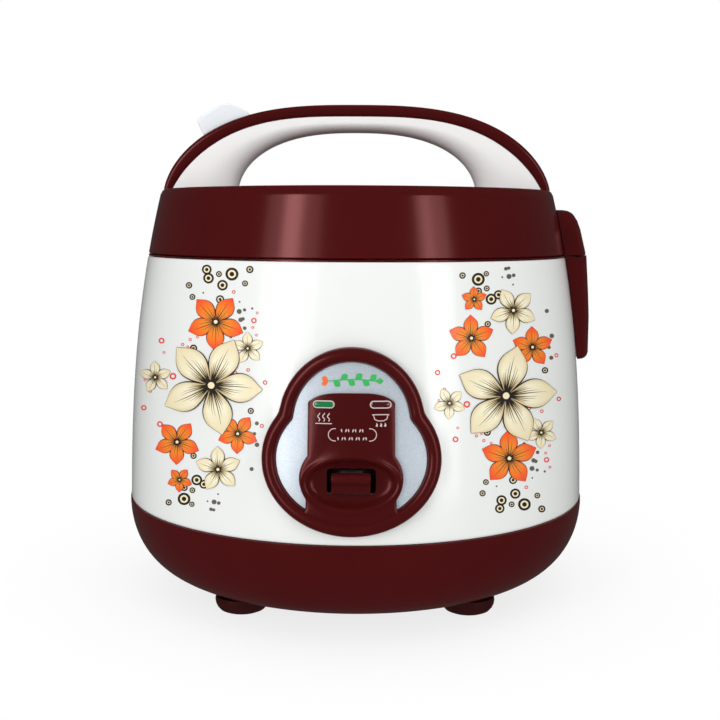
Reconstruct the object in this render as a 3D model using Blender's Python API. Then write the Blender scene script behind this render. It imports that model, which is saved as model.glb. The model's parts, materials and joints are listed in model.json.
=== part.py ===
"""Jar-type rice cooker with a hinged lid, a carrying handle and one cook lever.

All sizes in this script are in millimetres. SCALE turns them into metres when a mesh is made.
The origin is on the floor under the axis of the round body, +Z is up, the control panel faces -Y
and the lid's hinge is on the +X side.
"""

import math

import bmesh
import bpy
from mathutils import Matrix, Vector

for old_object in list(bpy.data.objects):
    bpy.data.objects.remove(old_object, do_unlink=True)

SCALE = 0.001
GAP = 0.3  # air left between neighbouring pieces

# Heights above the floor
BASE_BOTTOM = 8.0
BASE_SEAM = 50.0
LID_SEAM = 175.0
LID_TOP = 208.0

# Body of revolution
BODY_RADIUS = 119.5  # at the base seam
BODY_TAPER = 0.02
BODY_SHOULDER = 14.74  # how far the side has curved in at SHOULDER_RISE above the seam
SHOULDER_RISE = 158.0
SHOULDER_POWER = 2.5
SHELL_WALL = 1.2
LID_WALL = 2.4
BASE_WALL = 2.4
LARGE_TURN = 40  # flat faces round the large turned pieces
PANEL_TURN = 48
SMALL_TURN = 20

# Base bowl: a superellipse between the seam and the flat floor of the base
BASE_RADIUS = 120.0
BASE_FLOOR_RADIUS = 81.0
BASE_POWER = 2.2
COVER_HOLE_RADIUS = 62.0

# Pot, heater and what holds them
POT_WALL_RADIUS = 86.0
POT_THICKNESS = 1.5
POT_CORNER = 14.0
POT_FLANGE_RADIUS = 92.5
POT_BOTTOM = 62.0
POT_FLANGE_BOTTOM = 170.5
LINER_RADIUS = 91.0
PLATE_RADIUS = 76.0
PLATE_UNDERSIDE = 50.0
ELEMENT_RING_RADIUS = 52.0
ELEMENT_TUBE_RADIUS = 3.3

# Cook lever: it rocks about a pin that lies along X
PANEL_X = -1.7  # the panel and lever sit a little to the left of the middle
WARM_LAMP, COOK_LAMP = -11.9, 12.6  # offsets from PANEL_X
LAMP_HEIGHT = 113.0
LEVER_PIVOT = (PANEL_X, -34.0, 36.0)
LEVER_HALF_WIDTH = 5.0

# Lid hinge at +X, latch at -X, release button on the handle's left shoulder
HINGE = (113.5, 0.0, 181.0)
LUG_HALF_WIDTH = 22.5
LATCH_PIVOT = (-96.5, 0.0, 189.0)
BUTTON_PIVOT = (-56.0, 0.0, 246.0)
ROD_X = -78.5
HANDLE_HALF_DEPTH = 14.0
VENT = (0.0, 62.0)
FEET = {
    "foot_front_left": (-56.0, -58.0),
    "foot_front_right": (56.0, -58.0),
    "foot_rear_left": (-56.0, 58.0),
    "foot_rear_right": (56.0, 58.0),
}


# ---------------------------------------------------------------- materials

PALETTE = {
    "burgundy_plastic": ((0.062, 0.007, 0.008), 0.22, 0.0),
    "white_enamel": ((0.87, 0.87, 0.87), 0.18, 0.0),
    "white_plastic": ((0.80, 0.81, 0.80), 0.32, 0.0),
    "pale_button": ((0.72, 0.76, 0.80), 0.3, 0.0),
    "silver_blue": ((0.58, 0.64, 0.71), 0.35, 0.6),
    "green_lens": ((0.02, 0.30, 0.08), 0.15, 0.0),
    "dark_lens": ((0.10, 0.02, 0.02), 0.15, 0.0),
    "black_plastic": ((0.02, 0.02, 0.02), 0.5, 0.0),
    "brushed_aluminium": ((0.72, 0.73, 0.74), 0.35, 1.0),
    "galvanised_steel": ((0.55, 0.56, 0.57), 0.45, 1.0),
    "bright_steel": ((0.62, 0.62, 0.63), 0.25, 1.0),
    "non_stick": ((0.10, 0.10, 0.11), 0.4, 0.2),
    "brass": ((0.70, 0.52, 0.22), 0.3, 1.0),
    "clear_silicone": ((0.75, 0.76, 0.74), 0.6, 0.0),
    "foot_rubber": ((0.055, 0.010, 0.010), 0.6, 0.0),
    "circuit_green": ((0.03, 0.20, 0.08), 0.5, 0.0),
    "wire_brown": ((0.25, 0.10, 0.04), 0.5, 0.0),
    "wire_blue": ((0.05, 0.15, 0.50), 0.5, 0.0),
    "heater_band": ((0.60, 0.55, 0.45), 0.6, 0.2),
    "fuse_sleeve": ((0.80, 0.78, 0.70), 0.6, 0.0),
}


def finish_of(slot):
    """The material of one slot, made the first time that it is asked for."""
    if slot in bpy.data.materials:
        return bpy.data.materials[slot]
    colour, roughness, metallic = PALETTE[slot]
    made = bpy.data.materials.new(slot)
    made.use_nodes = True
    shader = made.node_tree.nodes["Principled BSDF"]
    shader.inputs["Base Color"].default_value = (*colour, 1.0)
    shader.inputs["Roughness"].default_value = roughness
    shader.inputs["Metallic"].default_value = metallic
    return made


# ---------------------------------------------------------------- mesh tools


def solid(name, points, faces, slot, origin=(0.0, 0.0, 0.0), smooth_below=35.0):
    """A closed mesh object. Points are in millimetres, and origin becomes the object's location."""
    mesh = bpy.data.meshes.new(name)
    base = Vector(origin)
    mesh.from_pydata([(Vector(p) - base) * SCALE for p in points], [], faces)
    work = bmesh.new()
    work.from_mesh(mesh)
    bmesh.ops.remove_doubles(work, verts=work.verts, dist=1e-6)
    bmesh.ops.recalc_face_normals(work, faces=work.faces)
    work.to_mesh(mesh)
    work.free()
    mesh.shade_smooth()
    mesh.set_sharp_from_angle(angle=math.radians(smooth_below))
    made = bpy.data.objects.new(name, mesh)
    made.location = base * SCALE
    if slot:
        mesh.materials.append(finish_of(slot))
    bpy.context.collection.objects.link(made)
    return made


def guide(made):
    """Marks an object as a cutter or a piece to unite, which is not part of the model."""
    made.hide_render = True
    made.display_type = "WIRE"
    return made


def boolean(target, other, operation="DIFFERENCE"):
    change = target.modifiers.new(operation.title(), "BOOLEAN")
    change.operation = operation
    change.solver = "EXACT"
    change.object = guide(other)


def round_edges(target, width, segments=2, angle=40.0):
    bevel = target.modifiers.new("Edges", "BEVEL")
    bevel.width = width * SCALE
    bevel.segments = segments
    bevel.limit_method = "ANGLE"
    bevel.angle_limit = math.radians(angle)
    bevel.harden_normals = False


def turned(name, loop, slot, centre=(0.0, 0.0), segments=LARGE_TURN, origin=None):
    """A closed (radius, height) loop turned round a vertical axis. Radius 0 becomes a single point."""
    points = []
    rings = []
    for radius, height in loop:
        if radius == 0.0:
            rings.append([len(points)])
            points.append((centre[0], centre[1], height))
            continue
        start = len(points)
        for k in range(segments):
            angle = 2 * math.pi * k / segments
            points.append((centre[0] + radius * math.cos(angle), centre[1] + radius * math.sin(angle), height))
        rings.append(list(range(start, start + segments)))
    faces = []
    for here, there in zip(rings, rings[1:] + rings[:1]):
        for k in range(segments):
            n = (k + 1) % segments
            if len(here) == 1 and len(there) == 1:
                break
            if len(here) == 1:
                faces.append((here[0], there[n], there[k]))
            elif len(there) == 1:
                faces.append((here[k], here[n], there[0]))
            else:
                faces.append((here[k], here[n], there[n], there[k]))
    return solid(name, points, faces, slot, origin or (centre[0], centre[1], 0.0))


def prism(name, outline, slot, axis, low, high, origin=(0.0, 0.0, 0.0)):
    """A closed outline of two coordinates, extruded along "x", "y" or "z" from low to high."""
    place = {
        "x": lambda a, b, t: (t, a, b),
        "y": lambda a, b, t: (a, t, b),
        "z": lambda a, b, t: (a, b, t),
    }[axis]
    count = len(outline)
    points = [place(a, b, low) for a, b in outline] + [place(a, b, high) for a, b in outline]
    faces = [tuple(range(count)), tuple(range(count, 2 * count))]
    faces += [(k, (k + 1) % count, (k + 1) % count + count, k + count) for k in range(count)]
    return solid(name, points, faces, slot, origin)


def block(name, low, high, slot, origin=(0.0, 0.0, 0.0)):
    outline = [(low[0], low[1]), (high[0], low[1]), (high[0], high[1]), (low[0], high[1])]
    return prism(name, outline, slot, "z", low[2], high[2], origin)


def rod(name, start, end, radius, slot, sides=12, origin=None):
    """A round bar between two points."""
    return swept(name, [Vector(start), Vector(end)], radius, slot, sides, origin or start)


def swept(name, path, radius, slot, sides=6, origin=(0.0, 0.0, 0.0)):
    """A round tube with flat ends along a list of points."""
    path = [Vector(p) for p in path]
    points = []
    side = None
    for k, here in enumerate(path):
        along = (path[min(k + 1, len(path) - 1)] - path[max(k - 1, 0)]).normalized()
        if side is None:
            side = along.orthogonal().normalized()
        side = (side - along * side.dot(along)).normalized()
        other = along.cross(side)
        for s in range(sides):
            angle = 2 * math.pi * s / sides
            points.append(here + radius * (math.cos(angle) * side + math.sin(angle) * other))
    faces = [tuple(range(sides)), tuple(range(len(points) - sides, len(points)))]
    for k in range(len(path) - 1):
        for s in range(sides):
            n = (s + 1) % sides
            a = k * sides
            faces.append((a + s, a + n, a + sides + n, a + sides + s))
    return solid(name, points, faces, slot, origin, smooth_below=60.0)


def coil_path(centre, radius, rise, turns, axis="z", steps=10):
    """Points along a helix that starts at centre and climbs by rise along the axis."""
    path = []
    for k in range(int(turns * steps) + 1):
        angle = 2 * math.pi * k / steps
        along = rise * k / (turns * steps)
        a, b = radius * math.cos(angle), radius * math.sin(angle)
        offset = (a, b, along) if axis == "z" else (a, along, b)
        path.append(Vector(centre) + Vector(offset))
    return path


def smooth_path(knots, steps=4):
    """A Catmull-Rom curve through the knots."""
    knots = [Vector(k) for k in knots]
    padded = [knots[0]] + knots + [knots[-1]]
    path = []
    for a, b, c, d in zip(padded, padded[1:], padded[2:], padded[3:]):
        for k in range(steps):
            t = k / steps
            path.append(
                0.5 * (2 * b + (c - a) * t + (2 * a - 5 * b + 4 * c - d) * t**2 + (3 * b - a - 3 * c + d) * t**3)
            )
    return path + [knots[-1]]


def arc(centre, radius, start, end, steps):
    """Points on a circle, from one angle in degrees to another."""
    angles = [math.radians(start + (end - start) * k / steps) for k in range(steps + 1)]
    return [(centre[0] + radius * math.cos(a), centre[1] + radius * math.sin(a)) for a in angles]


# ---------------------------------------------------------------- driving curves


def body_radius(height):
    """Outer radius of the body and of the lid's band at a height above the floor."""
    rise = max(height - BASE_SEAM, 0.0)
    return BODY_RADIUS - BODY_TAPER * rise - BODY_SHOULDER * (rise / SHOULDER_RISE) ** SHOULDER_POWER


def side_points(low, high, steps, inset=0.0):
    heights = [low + (high - low) * k / steps for k in range(steps + 1)]
    return [(body_radius(z) - inset, z) for z in heights]


def base_curve(steps, inset=0.0):
    """Points of the base bowl from the seam down to its flat floor."""
    points = []
    for k in range(steps + 1):
        t = math.radians(90.0 * k / steps)
        out = (BASE_RADIUS - inset - BASE_FLOOR_RADIUS) * math.cos(t) ** (2 / BASE_POWER)
        drop = (BASE_SEAM - BASE_BOTTOM - inset) * math.sin(t) ** (2 / BASE_POWER)
        points.append((BASE_FLOOR_RADIUS + out, BASE_SEAM - drop))
    return points


def arch(half_width, foot, rise, power_x, power_z, steps, low):
    """The left half to the right half of a handle edge: a superellipse cut off at height low."""
    edge_x = half_width * (1 - ((low - foot) / rise) ** power_z) ** (1 / power_x)
    points = []
    for k in range(steps + 1):
        share = -math.cos(math.pi * k / steps)
        x = edge_x * share
        z = foot + rise * (1 - abs(x / half_width) ** power_x) ** (1 / power_z)
        points.append((x, z))
    return points


HANDLE_FOOT = LID_TOP + GAP
OUTER_ARCH = (101.3, 205.0, 47.5, 2.9, 1.755)
RIM_ARCH = (99.1, 200.0, 45.9, 3.09, 1.42)
OPENING_ARCH = (63.1, 205.0, 32.8, 2.48, 2.09)


def outer_arch_height(x):
    half_width, foot, rise, power_x, power_z = OUTER_ARCH
    return foot + rise * (1 - abs(x / half_width) ** power_x) ** (1 / power_z)


# ---------------------------------------------------------------- base


def make_base():
    loop = base_curve(7)
    loop += [(COVER_HOLE_RADIUS, BASE_BOTTOM), (COVER_HOLE_RADIUS, 10.3), (55.0, 10.3), (55.0, 12.0)]
    inner = base_curve(4, BASE_WALL)
    loop += [(BASE_FLOOR_RADIUS, 12.0)] + [p for p in reversed(inner) if 13.0 < p[1] < 46.0]
    loop += [(116.2, 48.0), (116.2, 55.0), (117.8, 55.0), (117.8, BASE_SEAM)]
    base = turned("base_shell", loop, "burgundy_plastic")
    cover = turned(
        "bottom_cover",
        [(0.0, BASE_BOTTOM), (61.2, BASE_BOTTOM), (61.2, 10.0), (0.0, 10.0)],
        "burgundy_plastic",
    )
    for k in range(6):
        slot = block(f"cut_vent_{k}", (20.0, -2.0, 6.0), (48.0, 2.0, 12.0), None)
        slot.matrix_world = Matrix.Rotation(math.radians(60 * k + 30), 4, "Z")
        boolean(cover, slot)
    for k in range(3):
        angle = math.radians(120 * k + 90)
        x, y = 58.5 * math.cos(angle), 58.5 * math.sin(angle)
        bore = rod(f"cut_screw_{k}", (x, y, 5.0), (x, y, 16.0), 1.9, None, 10)
        boolean(cover, bore)
        boolean(base, bore)
        turned(
            f"cover_screw_{k + 1}",
            [(0.0, 5.9), (2.6, 5.9), (3.1, 6.6), (3.1, 7.7), (1.4, 7.7), (1.4, 14.0), (0.0, 14.0)],
            "bright_steel",
            (x, y),
            10,
        )
    for name, (x, y) in FEET.items():
        dome = [(8.5, 0.0), (11.6, 1.2), (13.2, 3.4), (13.5, 5.6), (13.2, 7.7)]
        turned(name, [(0.0, 0.0)] + dome + [(0.0, 7.7)], "foot_rubber", (x, y), 18)


# ---------------------------------------------------------------- body


def make_body():
    outer = side_points(BASE_SEAM + GAP, 174.2, 8)
    inner = side_points(BASE_SEAM + GAP, 174.2, 3, SHELL_WALL)
    shell = turned("outer_shell", outer + inner[::-1], "white_enamel")
    lever_way = block("cut_lever_way", (-12.5, -130.0, 72.9), (9.1, -105.0, 84.5), None)
    inlet_way = block("cut_inlet_way", (-13.3, 105.0, 64.4), (13.3, 130.0, 81.6), None)
    boolean(shell, lever_way)
    boolean(shell, inlet_way)
    for offset in (WARM_LAMP, COOK_LAMP):
        x = PANEL_X + offset
        light_way = rod(f"cut_light_way_{offset}", (x, -100.0, LAMP_HEIGHT), (x, -130.0, LAMP_HEIGHT), 3.0, None, 10)
        boolean(shell, light_way)

    rim = body_radius(LID_SEAM)
    loop = [(94.2, 175.2), (rim - 0.1, 175.2), (rim - 0.1, 174.5), (106.2, 174.5), (106.2, 163.0)]
    loop += [(104.6, 163.0), (104.6, 172.8), (96.0, 172.8), (96.0, 168.0), (88.0, 168.0)]
    loop += [(88.0, 170.2), (94.2, 170.2)]
    ring = turned("upper_ring", loop, "burgundy_plastic")
    boolean(ring, block("cut_latch_way", (-103.9, -7.0, 171.0), (-96.3, 7.0, 180.0), None))
    boolean(ring, block("cut_tower_way", (98.2, -7.6, 171.0), (104.4, 7.6, 180.0), None))
    boolean(ring, block("cut_neck_way", (98.3, -7.5, 174.15), (115.0, 7.5, 180.0), None))

    liner = [(LINER_RADIUS, 45.5), (LINER_RADIUS, 167.7), (LINER_RADIUS - 1.2, 167.7)]
    liner += [(LINER_RADIUS - 1.2, 46.7), (62.0, 46.7), (62.0, 45.5)]
    turned("inner_liner", liner, "galvanised_steel")
    warmer = [(91.6, 112.0), (93.2, 112.0), (93.2, 126.0), (91.6, 126.0)]
    turned("keep_warm_heater", warmer, "heater_band")
    fuse = (95.5 * math.cos(math.radians(35)), 95.5 * math.sin(math.radians(35)))
    rod("thermal_fuse", (*fuse, 78.0), (*fuse, 100.0), 2.2, "fuse_sleeve", 10)


def make_heater():
    loop = [(PLATE_RADIUS, PLATE_UNDERSIDE), (PLATE_RADIUS, 58.0), (73.0, POT_BOTTOM - GAP)]
    loop += [(17.4, POT_BOTTOM - GAP), (17.4, PLATE_UNDERSIDE)]
    plate = turned("heating_plate", loop, "brushed_aluminium")
    ring = [
        (ELEMENT_RING_RADIUS * math.cos(math.radians(a)), ELEMENT_RING_RADIUS * math.sin(math.radians(a)), 51.0)
        for a in range(106, 436, 11)
    ]
    ends = [Vector(ring[0]), Vector(ring[-1])]
    drop = Vector((0.0, 0.0, -12.0))
    path = [ends[0] + drop, ends[0] + drop * 0.25] + ring[1:-1] + [ends[1] + drop * 0.25, ends[1] + drop]
    groove = turned(
        "cut_groove",
        arc((ELEMENT_RING_RADIUS, 51.0), ELEMENT_TUBE_RADIUS + 0.6, 0.0, 320.0, 8),
        None,
        segments=LARGE_TURN,
    )
    boolean(plate, groove)
    swept("heating_element", path, ELEMENT_TUBE_RADIUS, "bright_steel", 6)
    for k in range(3):
        angle = math.radians(120 * k + 30)
        x, y = 68.5 * math.cos(angle), 68.5 * math.sin(angle)
        rod(f"plate_leg_{k + 1}", (x, y, 47.0), (x, y, PLATE_UNDERSIDE - GAP), 4.0, "galvanised_steel", 10)


def make_thermostat():
    cup = [(16.6, 40.0), (16.6, 58.0), (15.2, 58.0), (15.2, 41.2), (3.4, 41.2), (3.4, 40.0)]
    turned("thermostat_cup", cup, "galvanised_steel", segments=SMALL_TURN)
    top = POT_BOTTOM - GAP
    cap = [(0.0, top), (14.2, top), (14.2, 51.0), (13.2, 51.0), (13.2, 60.5), (8.0, 60.5), (8.0, 57.0), (0.0, 57.0)]
    turned("thermostat_cap", cap, "brushed_aluminium", segments=SMALL_TURN)
    spring = coil_path((0.0, 0.0, 42.3), 11.0, 17.2, 4.5)
    swept("thermostat_spring", spring, 0.6, "bright_steel", 5)
    plunger = [(0.0, 31.0), (2.4, 31.0), (2.4, 48.0), (8.0, 48.0), (8.0, 51.5), (0.0, 51.5)]
    turned("magnet_plunger", plunger, "bright_steel", segments=16)


def make_lever():
    front, back = -103.0, -99.0
    outline = [(6.0, 27.5), (6.0, 30.7), (-12.0, 30.7), (-26.0, 38.0), (-29.0, 38.0), (-31.0, 39.9)]
    outline += [(-37.0, 39.9), (-39.0, 38.0), (back, 38.0), (back, 82.9), (-121.6, 82.9), (-121.6, 78.9)]
    outline += [(front, 78.9), (front, 34.0), (-39.0, 34.0), (-37.0, 32.1), (-31.0, 32.1), (-29.0, 34.0)]
    outline += [(-28.0, 34.0), (-14.0, 27.5)]
    left, right = PANEL_X - LEVER_HALF_WIDTH, PANEL_X + LEVER_HALF_WIDTH
    arm = prism("rocker_arm", outline, "galvanised_steel", "x", left, right, LEVER_PIVOT)
    _, y, z = LEVER_PIVOT
    bore = rod("cut_lever_bore", (left - 5, y, z), (right + 5, y, z), 1.9, None, 12)
    boolean(arm, bore)
    rod("lever_pivot_pin", (left - 4.2, y, z), (right + 4.2, y, z), 1.5, "bright_steel", 12)
    bracket = block("lever_bracket", (left - 2.2, -66.0, 12.3), (right + 2.2, -28.0, 13.9), "galvanised_steel")
    for side, x in (("left", left - 2.2), ("right", right + 0.8)):
        ear = block(f"unite_ear_{side}", (x, -39.0, 12.9), (x + 1.4, -29.0, 41.0), None)
        boolean(bracket, ear, "UNION")
    ear_bore = rod("cut_ear_bore", (left - 5, y, z), (right + 5, y, z), 1.9, None, 12)
    boolean(bracket, ear_bore)
    switch = block("micro_switch", (PANEL_X - 4, -86.0, 14.4), (PANEL_X + 4, -70.0, 27.0), "black_plastic")
    key = rod("unite_switch_key", (PANEL_X, -78.0, 26.0), (PANEL_X, -78.0, 30.7), 1.5, None, 8)
    boolean(switch, key, "UNION")
    knob_half, knob_low, knob_high = 8.6, 73.7, 83.1
    knob = block(
        "cook_lever_knob",
        (PANEL_X - knob_half, -127.3, knob_low),
        (PANEL_X + knob_half, -122.1, knob_high),
        "burgundy_plastic",
        LEVER_PIVOT,
    )
    round_edges(knob, 1.6, 3)


# ---------------------------------------------------------------- control panel
# Panel shapes are drawn on the unrolled body side: u runs round the body, z is the height.

PANEL_CENTRE = (PANEL_X, 78.6)  # inside the lever's slot
UPPER_LOBE = (32.4, 105.2)  # radius, height of its centre
LOWER_LOBE = (40.1, 34.0, 88.2)  # half width, half height, height of its centre
LOWER_POWER = 2.0


def in_panel(u, z, inset=0.0):
    radius, height = UPPER_LOBE
    if math.hypot(u - PANEL_X, z - height) < radius - inset:
        return True
    wide, tall, middle = LOWER_LOBE
    across = abs(u - PANEL_X) / (wide - inset)
    up = abs(z - middle) / (tall - inset)
    return across**LOWER_POWER + up**LOWER_POWER < 1.0


def in_oval(u, z, wide, low, high, power=2.0):
    middle, tall = (low + high) / 2, (high - low) / 2
    return (abs(u - PANEL_X) / wide) ** power + (abs(z - middle) / tall) ** power < 1.0


def in_centre_plate(u, z, inset=0.0):
    """The upright plate with an arched top, and the lever's lobe, which meets the ring below."""
    across = abs(u - PANEL_X)
    top = 117.7 - 4.0 * (across / 19.0) ** 4
    upright = across < 19.0 - inset and 85.0 < z < top - inset
    lobe = in_oval(u, z, 22.6 - inset, 61.5 + inset, 98.5 - inset)
    foot = across < 19.6 - inset and 55.0 + inset < z < 75.0 and in_panel(u, z, 7.0 + inset)
    return upright or lobe or foot


def in_slot(u, z, grow=0.0):
    return in_oval(u, z, 10.8 + grow, 72.9 - grow, 84.5 + grow, 8.0)


def edge_points(inside, segments=PANEL_TURN):
    """Where rays from the panel's centre leave a shape, found by halving."""
    points = []
    for k in range(segments):
        angle = 2 * math.pi * k / segments
        du, dz = math.cos(angle), math.sin(angle)
        near, far = 0.0, 80.0
        for _ in range(30):
            reach = (near + far) / 2
            if inside(PANEL_CENTRE[0] + reach * du, PANEL_CENTRE[1] + reach * dz):
                near = reach
            else:
                far = reach
        points.append((PANEL_CENTRE[0] + near * du, PANEL_CENTRE[1] + near * dz))
    return points


def on_side(u, z, stand_off):
    """The point at u round the body and height z, stand_off outside its surface."""
    angle = u / BODY_RADIUS
    radius = body_radius(z) + stand_off
    return (radius * math.sin(angle), -radius * math.cos(angle), z)


def midway(edge, other, share):
    return [(a[0] + (b[0] - a[0]) * share, a[1] + (b[1] - a[1]) * share) for a, b in zip(edge, other)]


def wrapped_ring(name, stations, slot):
    """A ring-shaped piece on the body's side. Each station is a closed edge and its stand-off."""
    points = []
    for edge, stand_off in stations:
        points += [on_side(u, z, stand_off) for u, z in edge]
    count, segments = len(stations), len(stations[0][0])
    faces = []
    for s in range(count):
        for k in range(segments):
            n = (k + 1) % segments
            a, b = s * segments, (s + 1) % count * segments
            faces.append((a + k, a + n, b + n, b + k))
    return solid(name, points, faces, slot)


def wrapped_pad(name, centre, half_width, half_height, low, high, slot, segments=16):
    """A lozenge-shaped pad on the body's side."""
    rim = []
    for k in range(segments):
        angle = 2 * math.pi * k / segments
        across = abs(math.cos(angle)) ** 0.6 * math.copysign(half_width, math.cos(angle))
        rim.append((centre[0] + across, centre[1] + half_height * math.sin(angle)))
    points = [on_side(u, z, low) for u, z in rim] + [on_side(u, z, high) for u, z in rim]
    faces = [tuple(range(segments)), tuple(range(segments, 2 * segments))]
    faces += [(k, (k + 1) % segments, (k + 1) % segments + segments, k + segments) for k in range(segments)]
    return solid(name, points, faces, slot)


def make_panel():
    frame_profile = ((0.0, 0.35), (0.0, 3.0), (1.4, 4.7), (3.2, 5.2), (5.2, 4.6), (6.4, 3.0), (6.4, 0.35))
    stations = [(edge_points(lambda u, z: in_panel(u, z, inset)), lift) for inset, lift in frame_profile]
    wrapped_ring("panel_frame", stations, "burgundy_plastic")

    outer = edge_points(lambda u, z: in_panel(u, z, 6.8))
    inner = edge_points(lambda u, z: in_slot(u, z, 0.6))
    third, two_thirds = midway(outer, inner, 0.33), midway(outer, inner, 0.67)
    front = [(edge, 2.0) for edge in (outer, third, two_thirds, inner)]
    back = [(edge, 0.4) for edge in (inner, two_thirds, third, outer)]
    wrapped_ring("panel_fascia", front + back, "silver_blue")

    outer = edge_points(lambda u, z: in_centre_plate(u, z))
    slot_edge = edge_points(lambda u, z: in_slot(u, z))
    stations = [(midway(slot_edge, outer, 0.5), 2.4), (outer, 2.4), (outer, 3.6)]
    stations += [(edge_points(lambda u, z: in_centre_plate(u, z, 0.7)), 4.2)]
    stations += [(edge_points(lambda u, z: in_oval(u, z, 21.2, 65.4, 90.6)), 4.9)]
    stations += [(edge_points(lambda u, z: in_oval(u, z, 19.6, 66.6, 89.2)), 4.5)]
    stations += [(edge_points(lambda u, z: in_oval(u, z, 15.5, 69.8, 86.8, 3.0)), 3.4)]
    stations += [(slot_edge, 3.0), (slot_edge, 2.4)]
    wrapped_ring("panel_centre", stations, "burgundy_plastic")

    for offset, name, slot in ((WARM_LAMP, "warm_lamp_lens", "green_lens"), (COOK_LAMP, "cook_lamp_lens", "dark_lens")):
        wrapped_pad(name, (PANEL_X + offset, LAMP_HEIGHT), 4.4, 1.4, 4.7, 5.3, slot)
    board = block("lamp_board", (PANEL_X - 20, -106.6, 107.0), (PANEL_X + 20, -105.0, 118.0), "circuit_green")
    for name, offset in (("warm", WARM_LAMP), ("cook", COOK_LAMP)):
        x = PANEL_X + offset
        led = rod(f"unite_led_{name}", (x, -106.0, LAMP_HEIGHT), (x, -113.4, LAMP_HEIGHT), 2.4, None, 10)
        boolean(board, led, "UNION")


# ---------------------------------------------------------------- power inlet


def make_inlet():
    inlet = block("power_inlet", (-12.8, 96.0, 64.9), (12.8, 121.0, 81.1), "black_plastic")
    flange = prism(
        "unite_flange",
        [(-17.0, 62.0), (17.0, 62.0), (17.0, 84.0), (-17.0, 84.0)],
        None,
        "y",
        119.4,
        123.5,
    )
    boolean(inlet, flange, "UNION")
    boolean(inlet, block("cut_socket", (-10.5, 103.0, 67.0), (10.5, 130.0, 79.0), None))
    for side, name in ((-1, "inlet_pin_live"), (1, "inlet_pin_neutral")):
        x = 7.5 * side
        bore = rod(f"cut_{name}", (x, 90.0, 73.0), (x, 110.0, 73.0), 1.8, None, 10)
        boolean(inlet, bore)
        rod(name, (x, 92.6, 73.0), (x, 117.0, 73.0), 1.4, "brass", 10)
    block("terminal_block", (-18.0, 60.0, 12.3), (18.0, 73.0, 24.0), "white_plastic")
    for side, name, slot in ((-1, "wire_live", "wire_brown"), (1, "wire_neutral", "wire_blue")):
        x = 7.5 * side
        knots = [(x, 94.0, 71.1), (x, 95.0, 62.0), (x, 99.0, 48.0), (x, 95.0, 35.0), (x, 79.0, 33.0)]
        knots += [(x, 67.5, 29.0), (x, 67.5, 24.6)]
        swept(name, smooth_path(knots), 1.2, slot, 8)


# ---------------------------------------------------------------- pot


def make_pot():
    floor, wall = POT_BOTTOM, POT_WALL_RADIUS
    outer = arc((wall - POT_CORNER, floor + POT_CORNER), POT_CORNER, -90.0, 0.0, 4)
    inner_corner = POT_CORNER - POT_THICKNESS
    inner = arc((wall - POT_CORNER, floor + POT_CORNER), inner_corner, 0.0, -90.0, 4)
    loop = [(0.0, floor)] + outer
    loop += [(wall, POT_FLANGE_BOTTOM), (POT_FLANGE_RADIUS, POT_FLANGE_BOTTOM)]
    loop += [(POT_FLANGE_RADIUS, POT_FLANGE_BOTTOM + POT_THICKNESS)]
    loop += [(wall - POT_THICKNESS, POT_FLANGE_BOTTOM + POT_THICKNESS)]
    loop += inner + [(0.0, floor + POT_THICKNESS)]
    turned("inner_pot", loop, "non_stick")


# ---------------------------------------------------------------- lid


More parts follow.
